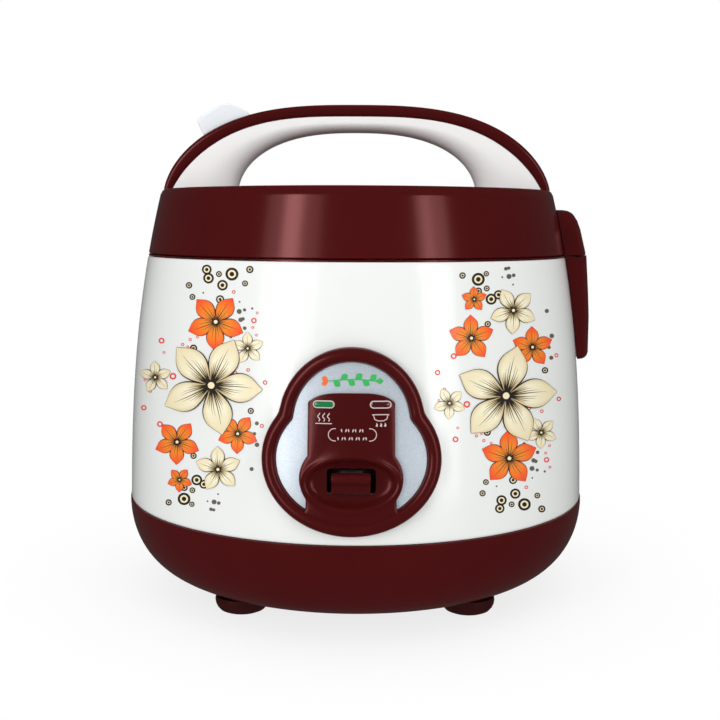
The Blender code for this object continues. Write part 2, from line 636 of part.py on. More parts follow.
def make_lid():
    low = LID_SEAM + 0.6
    edge = arc((body_radius(206.4) - 1.7, 206.3), 1.7, 0.0, 90.0, 3)
    top_inner = LID_TOP - LID_WALL
    loop = side_points(low, 206.0, 4) + edge + [(0.0, LID_TOP), (0.0, top_inner)]
    loop += [(body_radius(top_inner) - LID_WALL - 1.0, top_inner)]
    loop += list(reversed(side_points(low, 204.0, 3, LID_WALL)))
    cover = turned("lid_outer_cover", loop, "burgundy_plastic")
    boolean(cover, rod("cut_vent_way", (*VENT, 170.0), (*VENT, 215.0), 9.6, None, SMALL_TURN))
    boolean(cover, rod("cut_rod_way", (ROD_X, 0, 200.0), (ROD_X, 0, 215.0), 2.8, None, 12))
    boolean(cover, block("cut_hinge_notch", (100.0, -8.6, 170.0), (112.0, 8.6, 188.5), None))

    loop = [(104.7, 176.0), (104.7, 178.0), (97.0, 178.0), (94.6, 184.0), (0.0, 184.0)]
    loop += [(0.0, 182.2), (93.0, 182.2), (95.3, 176.0)]
    liner = turned("lid_inner_liner", loop, "white_plastic")
    boolean(liner, rod("cut_liner_vent", (*VENT, 170.0), (*VENT, 215.0), 9.6, None, SMALL_TURN))
    boolean(liner, rod("cut_liner_stud", (0, 0, 170.0), (0, 0, 190.0), 3.6, None, 16))
    boolean(liner, block("cut_liner_latch", (-104.0, -7.4, 170.0), (-93.4, 7.4, 183.0), None))
    boolean(liner, block("cut_liner_tower", (101.0, -7.6, 170.0), (106.0, 7.6, 180.0), None))

    loop = [(0.0, 176.6), (74.0, 176.0), (83.6, 174.6), (83.6, 173.3), (74.0, 174.8), (0.0, 175.5)]
    plate = turned("inner_lid_plate", loop, "brushed_aluminium")
    boolean(plate, rod("cut_plate_stud", (0, 0, 170.0), (0, 0, 190.0), 3.6, None, 16))
    boolean(plate, rod("cut_plate_vent", (*VENT, 170.0), (*VENT, 190.0), 5.0, None, 16))
    gasket = [(84.2, 173.4), (84.2, 175.7), (92.0, 175.7), (92.0, 172.3), (90.4, 172.3), (89.4, 174.0)]
    turned("lid_gasket", gasket, "clear_silicone")
    stud = [(0.0, 171.4), (5.0, 171.4), (6.5, 172.6), (6.5, 175.0), (3.1, 175.2), (3.1, 182.0), (3.1, 185.0)]
    turned("plate_grommet", stud + [(0.0, 185.0)], "clear_silicone", segments=16)

    vent = [(9.0, 177.2), (9.0, 208.3), (12.2, 208.3), (12.2, 209.4), (6.6, 209.4), (6.6, 177.2)]
    turned("steam_vent_body", vent, "white_plastic", VENT, SMALL_TURN)
    cap = [(0.0, 211.9), (12.4, 211.9), (13.6, 210.9), (13.6, 208.6), (12.8, 208.6), (12.8, 210.2), (0.0, 210.2)]
    vent_cap = turned("steam_vent_cap", cap, "white_plastic", VENT, SMALL_TURN)
    for k in range(3):
        angle = math.radians(120 * k)
        x, y = VENT[0] + 6.0 * math.cos(angle), VENT[1] + 6.0 * math.sin(angle)
        boolean(vent_cap, rod(f"cut_steam_hole_{k}", (x, y, 205.0), (x, y, 215.0), 1.6, None, 8))


def make_handle():
    outer = arch(*OUTER_ARCH, 34, HANDLE_FOOT)
    rim_inner = arch(*RIM_ARCH, 34, HANDLE_FOOT)
    rim = prism(
        "handle_rim", outer + rim_inner[::-1], "burgundy_plastic", "y", -HANDLE_HALF_DEPTH, HANDLE_HALF_DEPTH
    )
    half_width, foot, rise, power_x, power_z = RIM_ARCH
    web_outer = arch(half_width - GAP, foot, rise - GAP, power_x, power_z, 30, HANDLE_FOOT)
    opening = arch(*OPENING_ARCH, 24, HANDLE_FOOT)
    web = prism(
        "handle_web", web_outer + opening[::-1], "white_plastic", "y", 0.5 - HANDLE_HALF_DEPTH, HANDLE_HALF_DEPTH - 0.5
    )
    pocket = [(x, outer_arch_height(x) - 4.6) for x in (-84.0, -78.0, -71.0, -63.0, -52.4)]
    pocket += [(-52.4, 262.0), (-84.0, 262.0)]
    boolean(rim, prism("cut_button_pocket", pocket, None, "y", -10.2, 10.2))
    rod_way = rod("cut_rod_bore", (ROD_X, 0, 200.0), (ROD_X, 0, 262.0), 2.8, None, 12)
    boolean(rim, rod_way)
    boolean(web, rod_way)


def make_release():
    """The button on the handle, the rod through the handle's leg and the latch in the lid."""
    lower = [(x, outer_arch_height(x) - 0.4) for x in (-60.0, -66.0, -73.0, -79.6)]
    upper = [(-82.7, 243.8), (-81.7, 245.3), (-76.0, 249.4), (-71.3, 251.9), (-69.0, 252.4), (-64.0, 251.4)]
    upper += [(-58.0, 249.2), (-54.4, 247.4), (-53.2, 246.0), (-53.6, 244.6), (-56.0, 243.9)]
    button = prism("release_button", lower + upper, "pale_button", "y", -9.5, 9.5, BUTTON_PIVOT)
    round_edges(button, 0.9, 2, 50.0)
    rod("release_rod", (ROD_X, 0.0, 198.5), (ROD_X, 0.0, 235.6), 2.0, "white_plastic", 12)
    x, _, z = LATCH_PIVOT
    outline = [(x - 3.6, z - 2.0), (x - 3.6, z + 3.0), (x - 1.0, z + 4.2), (x + 4.0, z + 4.2), (x + 14.0, z + 9.1)]
    outline += [(x + 20.6, z + 9.1), (x + 20.6, z + 6.6), (x + 14.6, z + 6.6), (x + 3.6, z + 1.0), (x + 3.6, z - 2.2)]
    outline += [(x - 1.0, z - 4.4), (x - 1.0, z - 17.0), (x + 0.2, z - 17.2), (x - 1.0, z - 20.4), (x - 3.2, z - 20.4)]
    latch = prism("latch_lever", outline, "white_plastic", "y", -6.0, 6.0, LATCH_PIVOT)
    boolean(latch, rod("cut_latch_bore", (x, -12, z), (x, 12, z), 1.9, None, 12))
    bracket = block("latch_bracket", (-93.2, -9.8, 184.3), (-86.0, 9.8, 185.9), "galvanised_steel")
    for side, y in (("near", -9.8), ("far", 8.4)):
        ear = [(-99.4, 184.6), (-86.0, 184.6), (-86.0, 187.0), (-93.4, 192.2), (-99.4, 192.2)]
        boolean(bracket, prism(f"unite_latch_ear_{side}", ear, None, "y", y, y + 1.4), "UNION")
    boolean(bracket, rod("unite_latch_pin", (x, -9.0, z), (x, 9.0, z), 1.5, None, 12), "UNION")


def make_hinge():
    x, _, z = HINGE
    neck = [(98.6, 163.5), (104.0, 163.5), (104.0, 174.5), (109.6, 174.5)]
    barrel = arc((x, z), 4.4, -110.0, 160.0, 10)
    tower_outline = neck + barrel + [(104.0, 175.4), (98.6, 175.1)]
    tower = prism("hinge_tower", tower_outline, "galvanised_steel", "y", -3.0, 6.8)
    boolean(tower, rod("cut_tower_bore", (x, -30, z), (x, 30, z), 1.9, None, 12))
    rod("hinge_pin", (x, -19.0, z), (x, 19.0, z), 1.5, "bright_steel", 12)
    spring = coil_path((x, -7.4, z), 3.0, 3.6, 3.5, axis="y")
    swept("hinge_spring", spring, 0.5, "bright_steel", 5)

    # Top view of the hinge cover: a rounded block whose inner side stays clear of the lid's band.
    outer = [(101.6, LUG_HALF_WIDTH), (114.0, LUG_HALF_WIDTH)] + arc((57.0, 0.0), 63.3, 18.5, -18.5, 8)
    outer += [(114.0, -LUG_HALF_WIDTH), (101.6, -LUG_HALF_WIDTH)]
    low, top = LID_SEAM + 0.6, 198.4
    cover = prism("hinge_cover", outer, "burgundy_plastic", "z", low, top)
    side_view = [(90.0, top + 0.1)] + arc((105.8, 185.2), 13.2, 90.0, 22.0, 6)
    side_view += [(119.4, 188.0), (120.2, 182.0), (121.4, 174.0), (140.0, 174.0), (140.0, 210.0), (90.0, 210.0)]
    boolean(cover, prism("cut_cover_crown", side_view, None, "y", -40.0, 40.0))
    round_edges(cover, 1.2, 2)
    lid_space = turned(
        "cut_lid_space",
        [(0.0, 170.0)] + side_points(170.0, 206.0, 4, -0.45) + [(0.0, 206.0)],
        None,
    )
    boolean(cover, lid_space)
    swing = [(x + 5.4 * math.cos(a), z + 5.4 * math.sin(a)) for a in [math.radians(30 * k) for k in range(1, 7)]]
    swing += [(100.0, z), (100.0, 170.0), (130.0, 170.0), (130.0, z + 1.5)]
    boolean(cover, prism("cut_barrel_way", swing, None, "y", -8.4, 8.4))
    boolean(cover, rod("cut_cover_bore", (x, -19.6, z), (x, 19.6, z), 1.9, None, 12))


def make_dew_collector():
    """A shallow cup on the body's side under the hinge, open at the top."""
    low, top = 121.8, 170.8
    plan = [(100.0, 21.5), (113.6, 21.5)] + arc((57.0, 0.0), 63.6, 18.0, -18.0, 8)
    plan += [(113.6, -21.5), (100.0, -21.5)]
    cup = prism("dew_collector", plan, "burgundy_plastic", "z", low, top)
    round_edges(cup, 1.5, 2)
    body_space = turned(
        "cut_body_space",
        [(0.0, 110.0)] + side_points(110.0, 180.0, 5, -0.5) + [(0.0, 180.0)],
        None,
    )
    hollow_plan = [(100.0, 19.7), (112.6, 19.7)] + arc((57.0, 0.0), 61.6, 16.6, -16.6, 6)
    hollow_plan += [(112.6, -19.7), (100.0, -19.7)]
    hollow = prism("cut_cup_hollow", hollow_plan, None, "z", low + 2.0, top + 5.0)
    inner_wall = turned(
        "cut_inner_wall",
        [(0.0, 110.0)] + side_points(110.0, 180.0, 5, -2.1) + [(0.0, 180.0)],
        None,
    )
    boolean(hollow, inner_wall)
    boolean(cup, body_space)
    boolean(cup, hollow)


def main():
    make_base()
    make_body()
    make_heater()
    make_thermostat()
    make_lever()
    make_panel()
    make_inlet()
    make_pot()
    make_lid()
    make_handle()
    make_release()
    make_hinge()
    make_dew_collector()


main()
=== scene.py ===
"""Looks for the jar-type rice cooker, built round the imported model.

Sizes are in millimetres unless a name says otherwise. MM turns them into metres when a mesh is made.
"""

import json
import math

import bmesh
import bpy
from mathutils import Matrix, Vector


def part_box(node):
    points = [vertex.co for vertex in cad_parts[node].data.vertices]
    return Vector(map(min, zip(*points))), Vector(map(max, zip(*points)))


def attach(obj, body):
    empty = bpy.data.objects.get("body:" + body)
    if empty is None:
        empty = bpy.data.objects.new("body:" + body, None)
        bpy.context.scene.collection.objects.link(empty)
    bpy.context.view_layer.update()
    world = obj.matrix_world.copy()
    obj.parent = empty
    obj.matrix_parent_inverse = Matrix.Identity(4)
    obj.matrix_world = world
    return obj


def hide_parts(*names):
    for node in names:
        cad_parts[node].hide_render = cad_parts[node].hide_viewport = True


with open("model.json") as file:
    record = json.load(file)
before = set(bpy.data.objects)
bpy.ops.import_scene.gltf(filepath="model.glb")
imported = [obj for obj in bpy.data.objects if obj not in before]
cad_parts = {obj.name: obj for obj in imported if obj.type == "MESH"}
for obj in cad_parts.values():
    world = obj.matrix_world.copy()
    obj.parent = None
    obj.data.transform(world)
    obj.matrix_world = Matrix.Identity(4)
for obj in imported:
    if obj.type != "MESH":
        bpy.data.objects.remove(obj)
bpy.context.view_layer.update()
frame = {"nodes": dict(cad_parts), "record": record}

MM = 0.001
TURN = 192  # flat faces round a large turned piece
CAD = frame["nodes"]


def low_of(node):
    return Vector(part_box(node)[0]) / MM


def high_of(node):
    return Vector(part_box(node)[1]) / MM


def middle_of(node):
    return (low_of(node) + high_of(node)) / 2


# Heights and sizes read from the frame
BASE_SEAM = low_of("outer_shell").z - 0.3
SHELL_TOP = high_of("outer_shell").z
LID_LOW = low_of("lid_outer_cover").z
LID_TOP = high_of("lid_outer_cover").z
BODY_RADIUS = high_of("outer_shell").x
BASE_BOTTOM = low_of("base_shell").z
BASE_RADIUS = high_of("base_shell").x
PANEL_X = middle_of("panel_frame").x
HANDLE_FOOT = low_of("handle_web").z
SLOT_LOW = low_of("cook_lever_knob").z - 0.8
SLOT_HIGH = high_of("cook_lever_knob").z + 1.4

# The curves that the frame's turned pieces follow
BODY_TAPER = 0.02
BODY_SHOULDER = 14.74
SHOULDER_RISE = 158.0
SHOULDER_POWER = 2.5
BASE_FLOOR_RADIUS = 81.0
BASE_POWER = 2.2
SEAM_DROP = 0.7  # the sheet laps this far over the base


def body_radius(height):
    rise = max(height - BASE_SEAM, 0.0)
    return BODY_RADIUS - BODY_TAPER * rise - BODY_SHOULDER * (rise / SHOULDER_RISE) ** SHOULDER_POWER


# ---------------------------------------------------------------- materials


class Tree:
    """A short way to build a material's nodes."""

    def __init__(self, name):
        self.material = bpy.data.materials.new(name)
        self.material.use_nodes = True
        self.nodes = self.material.node_tree.nodes
        self.links = self.material.node_tree.links
        self.shader = self.nodes["Principled BSDF"]

    def node(self, kind, **settings):
        made = self.nodes.new(kind)
        for key, value in settings.items():
            if key in made.inputs:
                made.inputs[key].default_value = value
            else:
                setattr(made, key, value)
        return made

    def link(self, source, target):
        self.links.new(source, target)

    def socket(self, name, value):
        self.shader.inputs[name].default_value = value

    def feed(self, name, source):
        self.link(source, self.shader.inputs[name])

    def pattern(self, kind, **settings):
        """A texture laid on by the object's own coordinates."""
        made = self.node(kind, **settings)
        place = self.node("ShaderNodeTexCoord")
        self.link(place.outputs["Object"], made.inputs["Vector"])
        return made

    def ramp(self, source, *stops):
        """Colours at (place, colour) stops, in rising order."""
        made = self.node("ShaderNodeValToRGB")
        elements = made.color_ramp.elements
        for k, (place, colour) in enumerate(stops):
            stop = elements[k] if k < 2 else elements.new(place)
            stop.position = place
            stop.color = (*colour, 1)
        self.link(source, made.inputs["Fac"])
        return made.outputs["Color"]

    def spread(self, source, low, high, **settings):
        """Stretches a source from 0..1 to low..high."""
        made = self.node("ShaderNodeMapRange", **{"To Min": low, "To Max": high}, **settings)
        self.link(source, made.inputs["Value"])
        return made.outputs["Result"]

    def relief(self, source, strength, distance):
        made = self.node("ShaderNodeBump", Strength=strength, Distance=distance)
        self.link(source, made.inputs["Height"])
        self.feed("Normal", made.outputs["Normal"])


def plastic(name, colour, roughness, coat=0.0, shift=0.06, grain=900.0, bump=0.02, specular=0.5, tint=None):
    """Moulded plastic or paint: slow changes of tone, uneven polish and a very fine grain."""
    tree = Tree(name)
    tree.socket("Specular IOR Level", specular)
    if tint:
        tree.socket("Specular Tint", (*tint, 1))
    tree.socket("Coat Weight", coat)
    tree.socket("Coat Roughness", 0.08)
    slow = tree.pattern("ShaderNodeTexNoise", Scale=22.0, Detail=3.0, Roughness=0.55).outputs["Fac"]
    dark = [c * (1 - shift) for c in colour]
    light = [min(1.0, c * (1 + shift)) for c in colour]
    tree.feed("Base Color", tree.ramp(slow, (0.3, dark), (0.7, light)))
    tree.feed("Roughness", tree.spread(slow, roughness * 0.88, roughness * 1.14))
    fine = tree.pattern("ShaderNodeTexNoise", Scale=grain, Detail=2.0)
    tree.relief(fine.outputs["Fac"], bump, 0.0004)
    return tree.material


def turned_metal(name, colour, roughness, rings=4.0):
    """Metal with fine lathe rings about the vertical axis and light staining."""
    tree = Tree(name)
    tree.socket("Metallic", 1.0)
    wave = {"Scale": rings * 60, "Distortion": 0.4, "Detail": 2.0}
    lathe = tree.pattern("ShaderNodeTexWave", wave_type="RINGS", rings_direction="Z", **wave).outputs["Fac"]
    stain = tree.pattern("ShaderNodeTexNoise", Scale=30.0, Detail=5.0).outputs["Fac"]
    tree.feed("Base Color", tree.ramp(stain, (0.25, [c * 0.8 for c in colour]), (0.65, colour)))
    tree.feed("Roughness", tree.spread(lathe, roughness * 0.8, roughness * 1.25))
    tree.relief(lathe, 0.08, 0.0002)
    return tree.material


def flaked_lacquer(name, colour):
    """Fine metallic lacquer, as on the fascia."""
    tree = Tree(name)
    tree.socket("Metallic", 0.35)
    tree.socket("Coat Weight", 0.5)
    tree.socket("Coat Roughness", 0.1)
    flakes = tree.pattern("ShaderNodeTexVoronoi", Scale=2600.0).outputs["Color"]
    light = [min(1.0, c * 1.1) for c in colour]
    tree.feed("Base Color", tree.ramp(flakes, (0.0, [c * 0.86 for c in colour]), (1.0, light)))
    slow = tree.pattern("ShaderNodeTexNoise", Scale=40.0, Detail=2.0).outputs["Fac"]
    tree.feed("Roughness", tree.spread(slow, 0.28, 0.42))
    return tree.material


def petal_paint(name, base, body, tip, edge):
    """Printed petal, from the flower's dark centre to the petal's tip, and darker or redder at its edge."""
    tree = Tree(name)
    tree.socket("Roughness", 0.3)
    tree.socket("Coat Weight", 0.4)
    tree.socket("Coat Roughness", 0.08)
    place = tree.node("ShaderNodeUVMap", uv_map="petal").outputs["UV"]
    parts = tree.node("ShaderNodeSeparateXYZ")
    tree.link(place, parts.inputs["Vector"])
    grain = tree.node("ShaderNodeTexNoise", Scale=9.0, Detail=3.0)
    tree.link(place, grain.inputs["Vector"])
    wander = tree.node("ShaderNodeMath", operation="MULTIPLY_ADD")
    wander.inputs[1].default_value = 0.12
    tree.link(grain.outputs["Fac"], wander.inputs[0])
    tree.link(parts.outputs["X"], wander.inputs[2])
    stops = ((0.10, (0.012, 0.008, 0.006)), (0.26, base), (0.5, body), (0.98, tip))
    along = tree.ramp(wander.outputs["Value"], *stops)
    across = tree.ramp(parts.outputs["Y"], (0.66, (0.0, 0.0, 0.0)), (1.0, (0.65, 0.65, 0.65)))
    mix = tree.node("ShaderNodeMix", data_type="RGBA")
    tree.link(across, mix.inputs["Factor"])
    tree.link(along, mix.inputs["A"])
    mix.inputs["B"].default_value = (*edge, 1)
    tree.feed("Base Color", mix.outputs["Result"])
    return tree.material


RED_GLOSS = (1.0, 0.40, 0.40)  # the burgundy's reflections are reddish
BURGUNDY = plastic("burgundy", (0.056, 0.0040, 0.0044), 0.16, shift=0.05, specular=0.62, tint=RED_GLOSS)
BURGUNDY_PANEL = plastic(
    "burgundy_panel", (0.052, 0.0034, 0.0036), 0.24, shift=0.05, specular=0.5, tint=RED_GLOSS
)
ENAMEL = plastic("white_enamel_gloss", (0.75, 0.765, 0.75), 0.2, coat=0.6, shift=0.008, bump=0.01)
WHITE = plastic("white_moulded", (0.885, 0.885, 0.875), 0.33, coat=0.1, shift=0.012)
BUTTON = plastic("pale_button_moulded", (0.74, 0.775, 0.81), 0.32, coat=0.1, shift=0.012)
BLACK = plastic("black_moulded", (0.018, 0.018, 0.019), 0.45, shift=0.15, bump=0.1)
RUBBER = plastic(
    "foot_rubber_matt", (0.030, 0.005, 0.005), 0.5, shift=0.12, bump=0.12, specular=0.2, tint=RED_GLOSS
)
SILICONE = plastic("silicone_milky", (0.70, 0.71, 0.69), 0.55, shift=0.03, bump=0.05)
CIRCUIT = plastic("circuit_board", (0.02, 0.16, 0.06), 0.45, shift=0.2, bump=0.1)
SLEEVE = plastic("woven_sleeve", (0.74, 0.71, 0.62), 0.8, shift=0.12, bump=0.4)
BAND = plastic("mica_band", (0.55, 0.48, 0.36), 0.6, shift=0.2, bump=0.3)
WIRE_BROWN = plastic("wire_brown_pvc", (0.20, 0.08, 0.03), 0.45, shift=0.05)
WIRE_BLUE = plastic("wire_blue_pvc", (0.04, 0.13, 0.45), 0.45, shift=0.05)
NON_STICK = plastic(
    "non_stick_coat", (0.085, 0.085, 0.09), 0.36, coat=0.2, shift=0.25, grain=1600.0, bump=0.25
)
ALUMINIUM = turned_metal("turned_aluminium", (0.80, 0.81, 0.82), 0.3)
STEEL = turned_metal("rolled_steel", (0.56, 0.57, 0.58), 0.42, rings=1.5)
BRIGHT = turned_metal("bright_steel_wire", (0.66, 0.66, 0.67), 0.22, rings=2.0)
BRASS = turned_metal("brass_pin", (0.72, 0.53, 0.22), 0.28, rings=2.0)
FASCIA = flaked_lacquer("silver_blue_lacquer", (0.60, 0.665, 0.735))
GREEN_LENS = plastic(
    "green_lens_clear", (0.010, 0.20, 0.055), 0.12, coat=0.8, shift=0.35, grain=300.0, bump=0.2
)
DARK_LENS = plastic("dark_lens_clear", (0.055, 0.006, 0.007), 0.12, coat=0.8, shift=0.1)
PRINT_WHITE = plastic("print_warm_white", (0.56, 0.45, 0.44), 0.4, shift=0.03)
PRINT_DARK = plastic("print_dark_brown", (0.020, 0.014, 0.010), 0.35, shift=0.2)
PRINT_GREY = plastic("print_grey_brown", (0.11, 0.095, 0.07), 0.35, shift=0.15)
PRINT_CREAM = plastic("print_cream", (0.80, 0.70, 0.46), 0.35, shift=0.05)
PRINT_RED = plastic("print_coral", (0.72, 0.075, 0.05), 0.35, shift=0.08)
PRINT_GREEN = plastic("print_leaf_green", (0.03, 0.42, 0.09), 0.35, shift=0.12)
PRINT_ORANGE = plastic("print_orange", (0.80, 0.14, 0.02), 0.35, shift=0.1)
CREAM_PETAL = petal_paint(
    "cream_petal", (0.56, 0.43, 0.21), (0.85, 0.79, 0.58), (0.76, 0.66, 0.42), (0.60, 0.48, 0.26)
)
ORANGE_PETAL = petal_paint(
    "orange_petal", (0.70, 0.25, 0.03), (0.84, 0.23, 0.02), (0.86, 0.07, 0.015), (0.80, 0.10, 0.015)
)

# ---------------------------------------------------------------- mesh tools


def piece(name, points, faces, material, body, replaced=(), slot=None, smooth_below=38.0, petal_uv=None):
    """A visible piece from points in millimetres, riding on a body of the frame."""
    mesh = bpy.data.meshes.new(name)
    mesh.from_pydata([Vector(p) * MM for p in points], [], faces)
    if petal_uv:
        layer = mesh.uv_layers.new(name="petal")
        for loop in mesh.loops:
            layer.data[loop.index].uv = petal_uv[loop.vertex_index]
    work = bmesh.new()
    work.from_mesh(mesh)
    bmesh.ops.recalc_face_normals(work, faces=work.faces)
    work.to_mesh(mesh)
    work.free()
    mesh.shade_smooth()
    mesh.set_sharp_from_angle(angle=math.radians(smooth_below))
    made = bpy.data.objects.new(name, mesh)
    if material:
        mesh.materials.append(material)
    bpy.context.collection.objects.link(made)
    if body:
        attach(made, body)
    if replaced:
        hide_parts(*replaced)
    return made


def band_faces(rows, width, start=0, closed=False):
    """Quads between neighbouring rows of points, where each row is a ring of the same width."""
    faces = []
    for r in range(rows if closed else rows - 1):
        here, there = start + r * width, start + (r + 1) % rows * width
        for k in range(width):
            n = (k + 1) % width
            faces.append((here + k, here + n, there + n, there + k))
    return faces


def capped_faces(rows, width):
    """A closed skin over rows of rings, with both ends filled."""
    ends = [tuple(range(width)), tuple(range((rows - 1) * width, rows * width))]
    return ends + band_faces(rows, width)


def turned(name, loop, material, body, centre=(0.0, 0.0), segments=TURN, **more):
    """A closed (radius, height) loop turned round a vertical axis."""
    points, rings, faces = [], [], []
    for radius, height in loop:
        if radius == 0.0:
            rings.append([len(points)] * segments)
            points.append((*centre, height))
            continue
        rings.append(list(range(len(points), len(points) + segments)))
        for k in range(segments):
            angle = 2 * math.pi * k / segments
            x, y = radius * math.cos(angle), radius * math.sin(angle)
            points.append((centre[0] + x, centre[1] + y, height))
    for here, there in zip(rings, rings[1:] + rings[:1]):
        for k in range(segments):
            n = (k + 1) % segments
            corners = list(dict.fromkeys((here[k], here[n], there[n], there[k])))
            if len(corners) > 2:
                faces.append(tuple(corners))
    return piece(name, points, faces, material, body, **more)


def prism(name, outline, material, body, axis, low, high, **more):
    """A closed outline of two coordinates, extruded along "x", "y" or "z"."""
    place = {
        "x": lambda a, b, t: (t, a, b),
        "y": lambda a, b, t: (a, t, b),
        "z": lambda a, b, t: (a, b, t),
    }[axis]
    points = [place(a, b, low) for a, b in outline] + [place(a, b, high) for a, b in outline]
    return piece(name, points, capped_faces(2, len(outline)), material, body, **more)


def cutter_block(low, high):
    outline = [(low[0], low[1]), (high[0], low[1]), (high[0], high[1]), (low[0], high[1])]
    return prism("cutter", outline, None, None, "z", low[2], high[2])


def cutter_bar(start, end, radius, sides=48):
    start, end = Vector(start), Vector(end)
    turn = (end - start).to_track_quat("Z", "Y").to_matrix()
    points = []
    for base in (start, end):
        for k in range(sides):
            angle = 2 * math.pi * k / sides
            points.append(base + turn @ Vector((radius * math.cos(angle), radius * math.sin(angle), 0)))
    return piece("cutter", points, capped_faces(2, sides), None, None)


def apply_modifiers(made, sharp_from=38.0):
    """Bakes an object's modifiers into its mesh."""
    graph = bpy.context.evaluated_depsgraph_get()
    result = bpy.data.meshes.new_from_object(made.evaluated_get(graph))
    made.modifiers.clear()
    made.data = result
    result.shade_smooth()
    result.set_sharp_from_angle(angle=math.radians(sharp_from))


def cut(made, *cutters):
    """Cuts other closed pieces out of one and removes them."""
    for cutter in cutters:
        change = made.modifiers.new("cut", "BOOLEAN")
        change.operation = "DIFFERENCE"
        change.object = cutter
    apply_modifiers(made)
    for cutter in cutters:
        bpy.data.objects.remove(cutter, do_unlink=True)


def bevel(made, width, segments=4, angle=35.0):
    change = made.modifiers.new("edges", "BEVEL")
    change.width = width * MM
    change.segments = segments
    change.limit_method = "ANGLE"
    change.angle_limit = math.radians(angle)
    apply_modifiers(made, 50.0)


def arc(centre, radius, start, end, steps):
    angles = [math.radians(start + (end - start) * k / steps) for k in range(steps + 1)]
    return [(centre[0] + radius * math.cos(a), centre[1] + radius * math.sin(a)) for a in angles]


def side_points(low, high, steps, inset=0.0):
    heights = [low + (high - low) * k / steps for k in range(steps + 1)]
    return [(body_radius(z) - inset, z) for z in heights]


# ---------------------------------------------------------------- camera, light and floor

CAMERA_PLACE = (2.0, -621.2, 191.4)
CAMERA_PITCH = 6.713
CAMERA_ROLL = 0.25
CAMERA_LENS_MM = 58.25


def mix_shaders(nodes, links, share, first, second):
    """Mixes two shaders by a share."""
    mixed = nodes.new("ShaderNodeMixShader")
    links.new(share, mixed.inputs["Fac"])
    links.new(first, mixed.inputs[1])
    links.new(second, mixed.inputs[2])
    return mixed.outputs["Shader"]


def make_camera():
    camera_data = bpy.data.cameras.new("camera")
    camera_data.lens = CAMERA_LENS_MM
    camera_data.sensor_width = 36.0
    camera_data.clip_start = 0.01
    camera = bpy.data.objects.new("camera", camera_data)
    bpy.context.collection.objects.link(camera)
    aim = Matrix.Rotation(math.radians(90 - CAMERA_PITCH), 4, "X")
    roll = Matrix.Rotation(math.radians(CAMERA_ROLL), 4, "Z")
    camera.matrix_world = Matrix.Translation(Vector(CAMERA_PLACE) * MM) @ aim @ roll
    bpy.context.scene.camera = camera


def make_lights():
    lights = {
        # name: place in metres, size across and high in metres, watts, seen in reflections
        "overhead": ((0.0, -0.25, 1.7), (2.4, 2.0), 17.0, False),
        "strip_left": ((-0.86, -1.25, 0.42), (0.24, 1.3), 4.4, True),
        "wide_left": ((-0.87, -1.27, 0.42), (0.80, 1.3), 4.0, True),
        "strip_right": ((0.92, -1.17, 0.36), (0.14, 1.1), 1.0, True),
        "wide_right": ((0.99, -1.13, 0.38), (0.44, 1.2), 3.4, True),
        "front_fill": ((0.0, -2.4, 0.9), (2.6, 1.6), 5.5, False),
        "back_left": ((-1.5, 1.2, 0.9), (1.2, 1.4), 5.0, False),
        "back_right": ((1.5, 1.2, 0.9), (1.2, 1.4), 5.0, False),
    }
    for name, (place, size, watts, reflected) in lights.items():
        light = bpy.data.lights.new(name, "AREA")
        light.shape = "RECTANGLE"
        light.size, light.size_y = size
        light.energy = watts
        holder = bpy.data.objects.new(name, light)
        holder.visible_glossy = reflected
        bpy.context.collection.objects.link(holder)
        holder.location = place
        toward = Vector((0.0, 0.0, 0.12)) - Vector(place)
        holder.rotation_euler = toward.to_track_quat("-Z", "Y").to_euler()


def make_world():
    """White where the picture looks past the object, dim in reflections, so that the gloss stays deep."""
    world = bpy.data.worlds.new("studio")
    bpy.context.scene.world = world
    world.use_nodes = True
    nodes, links = world.node_tree.nodes, world.node_tree.links
    nodes.remove(nodes["Background"])
    skies = []
    for strength in (0.56, 0.05, 1.0):  # as a light, in reflections, and in the picture itself
        sky = nodes.new("ShaderNodeBackground")
        sky.inputs["Color"].default_value = (1.0, 1.0, 1.0, 1)
        sky.inputs["Strength"].default_value = strength
        skies.append(sky.outputs["Background"])
    path = nodes.new("ShaderNodeLightPath")
    lighting = mix_shaders(nodes, links, path.outputs["Is Glossy Ray"], skies[0], skies[1])
    whole = mix_shaders(nodes, links, path.outputs["Is Camera Ray"], lighting, skies[2])
    links.new(whole, nodes["World Output"].inputs["Surface"])


def make_floor():
    """A pale floor with a faint soft shadow near the object, turning to plain white farther out."""
    tree = Tree("pale_floor")
    cloud = tree.pattern("ShaderNodeTexNoise", Scale=14.0, Detail=2.0).outputs["Fac"]
    tree.feed("Base Color", tree.ramp(cloud, (0.0, (0.90, 0.90, 0.90)), (1.0, (0.93, 0.93, 0.93))))
    tree.socket("Roughness", 0.8)
    tree.socket("Specular IOR Level", 0.1)
    far = tree.pattern("ShaderNodeVectorMath", operation="LENGTH").outputs["Value"]
    reach = {"From Min": 0.08, "From Max": 0.34}  # metres from the object's middle
    share = tree.spread(far, 0.8, 1.0, interpolation_type="SMOOTHSTEP", **reach)
    white = tree.node("ShaderNodeEmission", Strength=1.0).outputs["Emission"]
    shaded = mix_shaders(tree.nodes, tree.links, share, tree.shader.outputs["BSDF"], white)
    tree.link(shaded, tree.nodes["Material Output"].inputs["Surface"])
    half = 6000.0
    corners = [(-half, -half), (half, -half), (half, half), (-half, half)]
    floor = piece("floor", [(x, y, -0.2) for x, y in corners], [(0, 1, 2, 3)], tree.material, None)
    floor.visible_glossy = False


def make_studio():
    make_camera()
    make_lights()
    make_world()
    make_floor()
    bpy.context.scene.view_settings.view_transform = "Standard"


# ---------------------------------------------------------------- turned skins


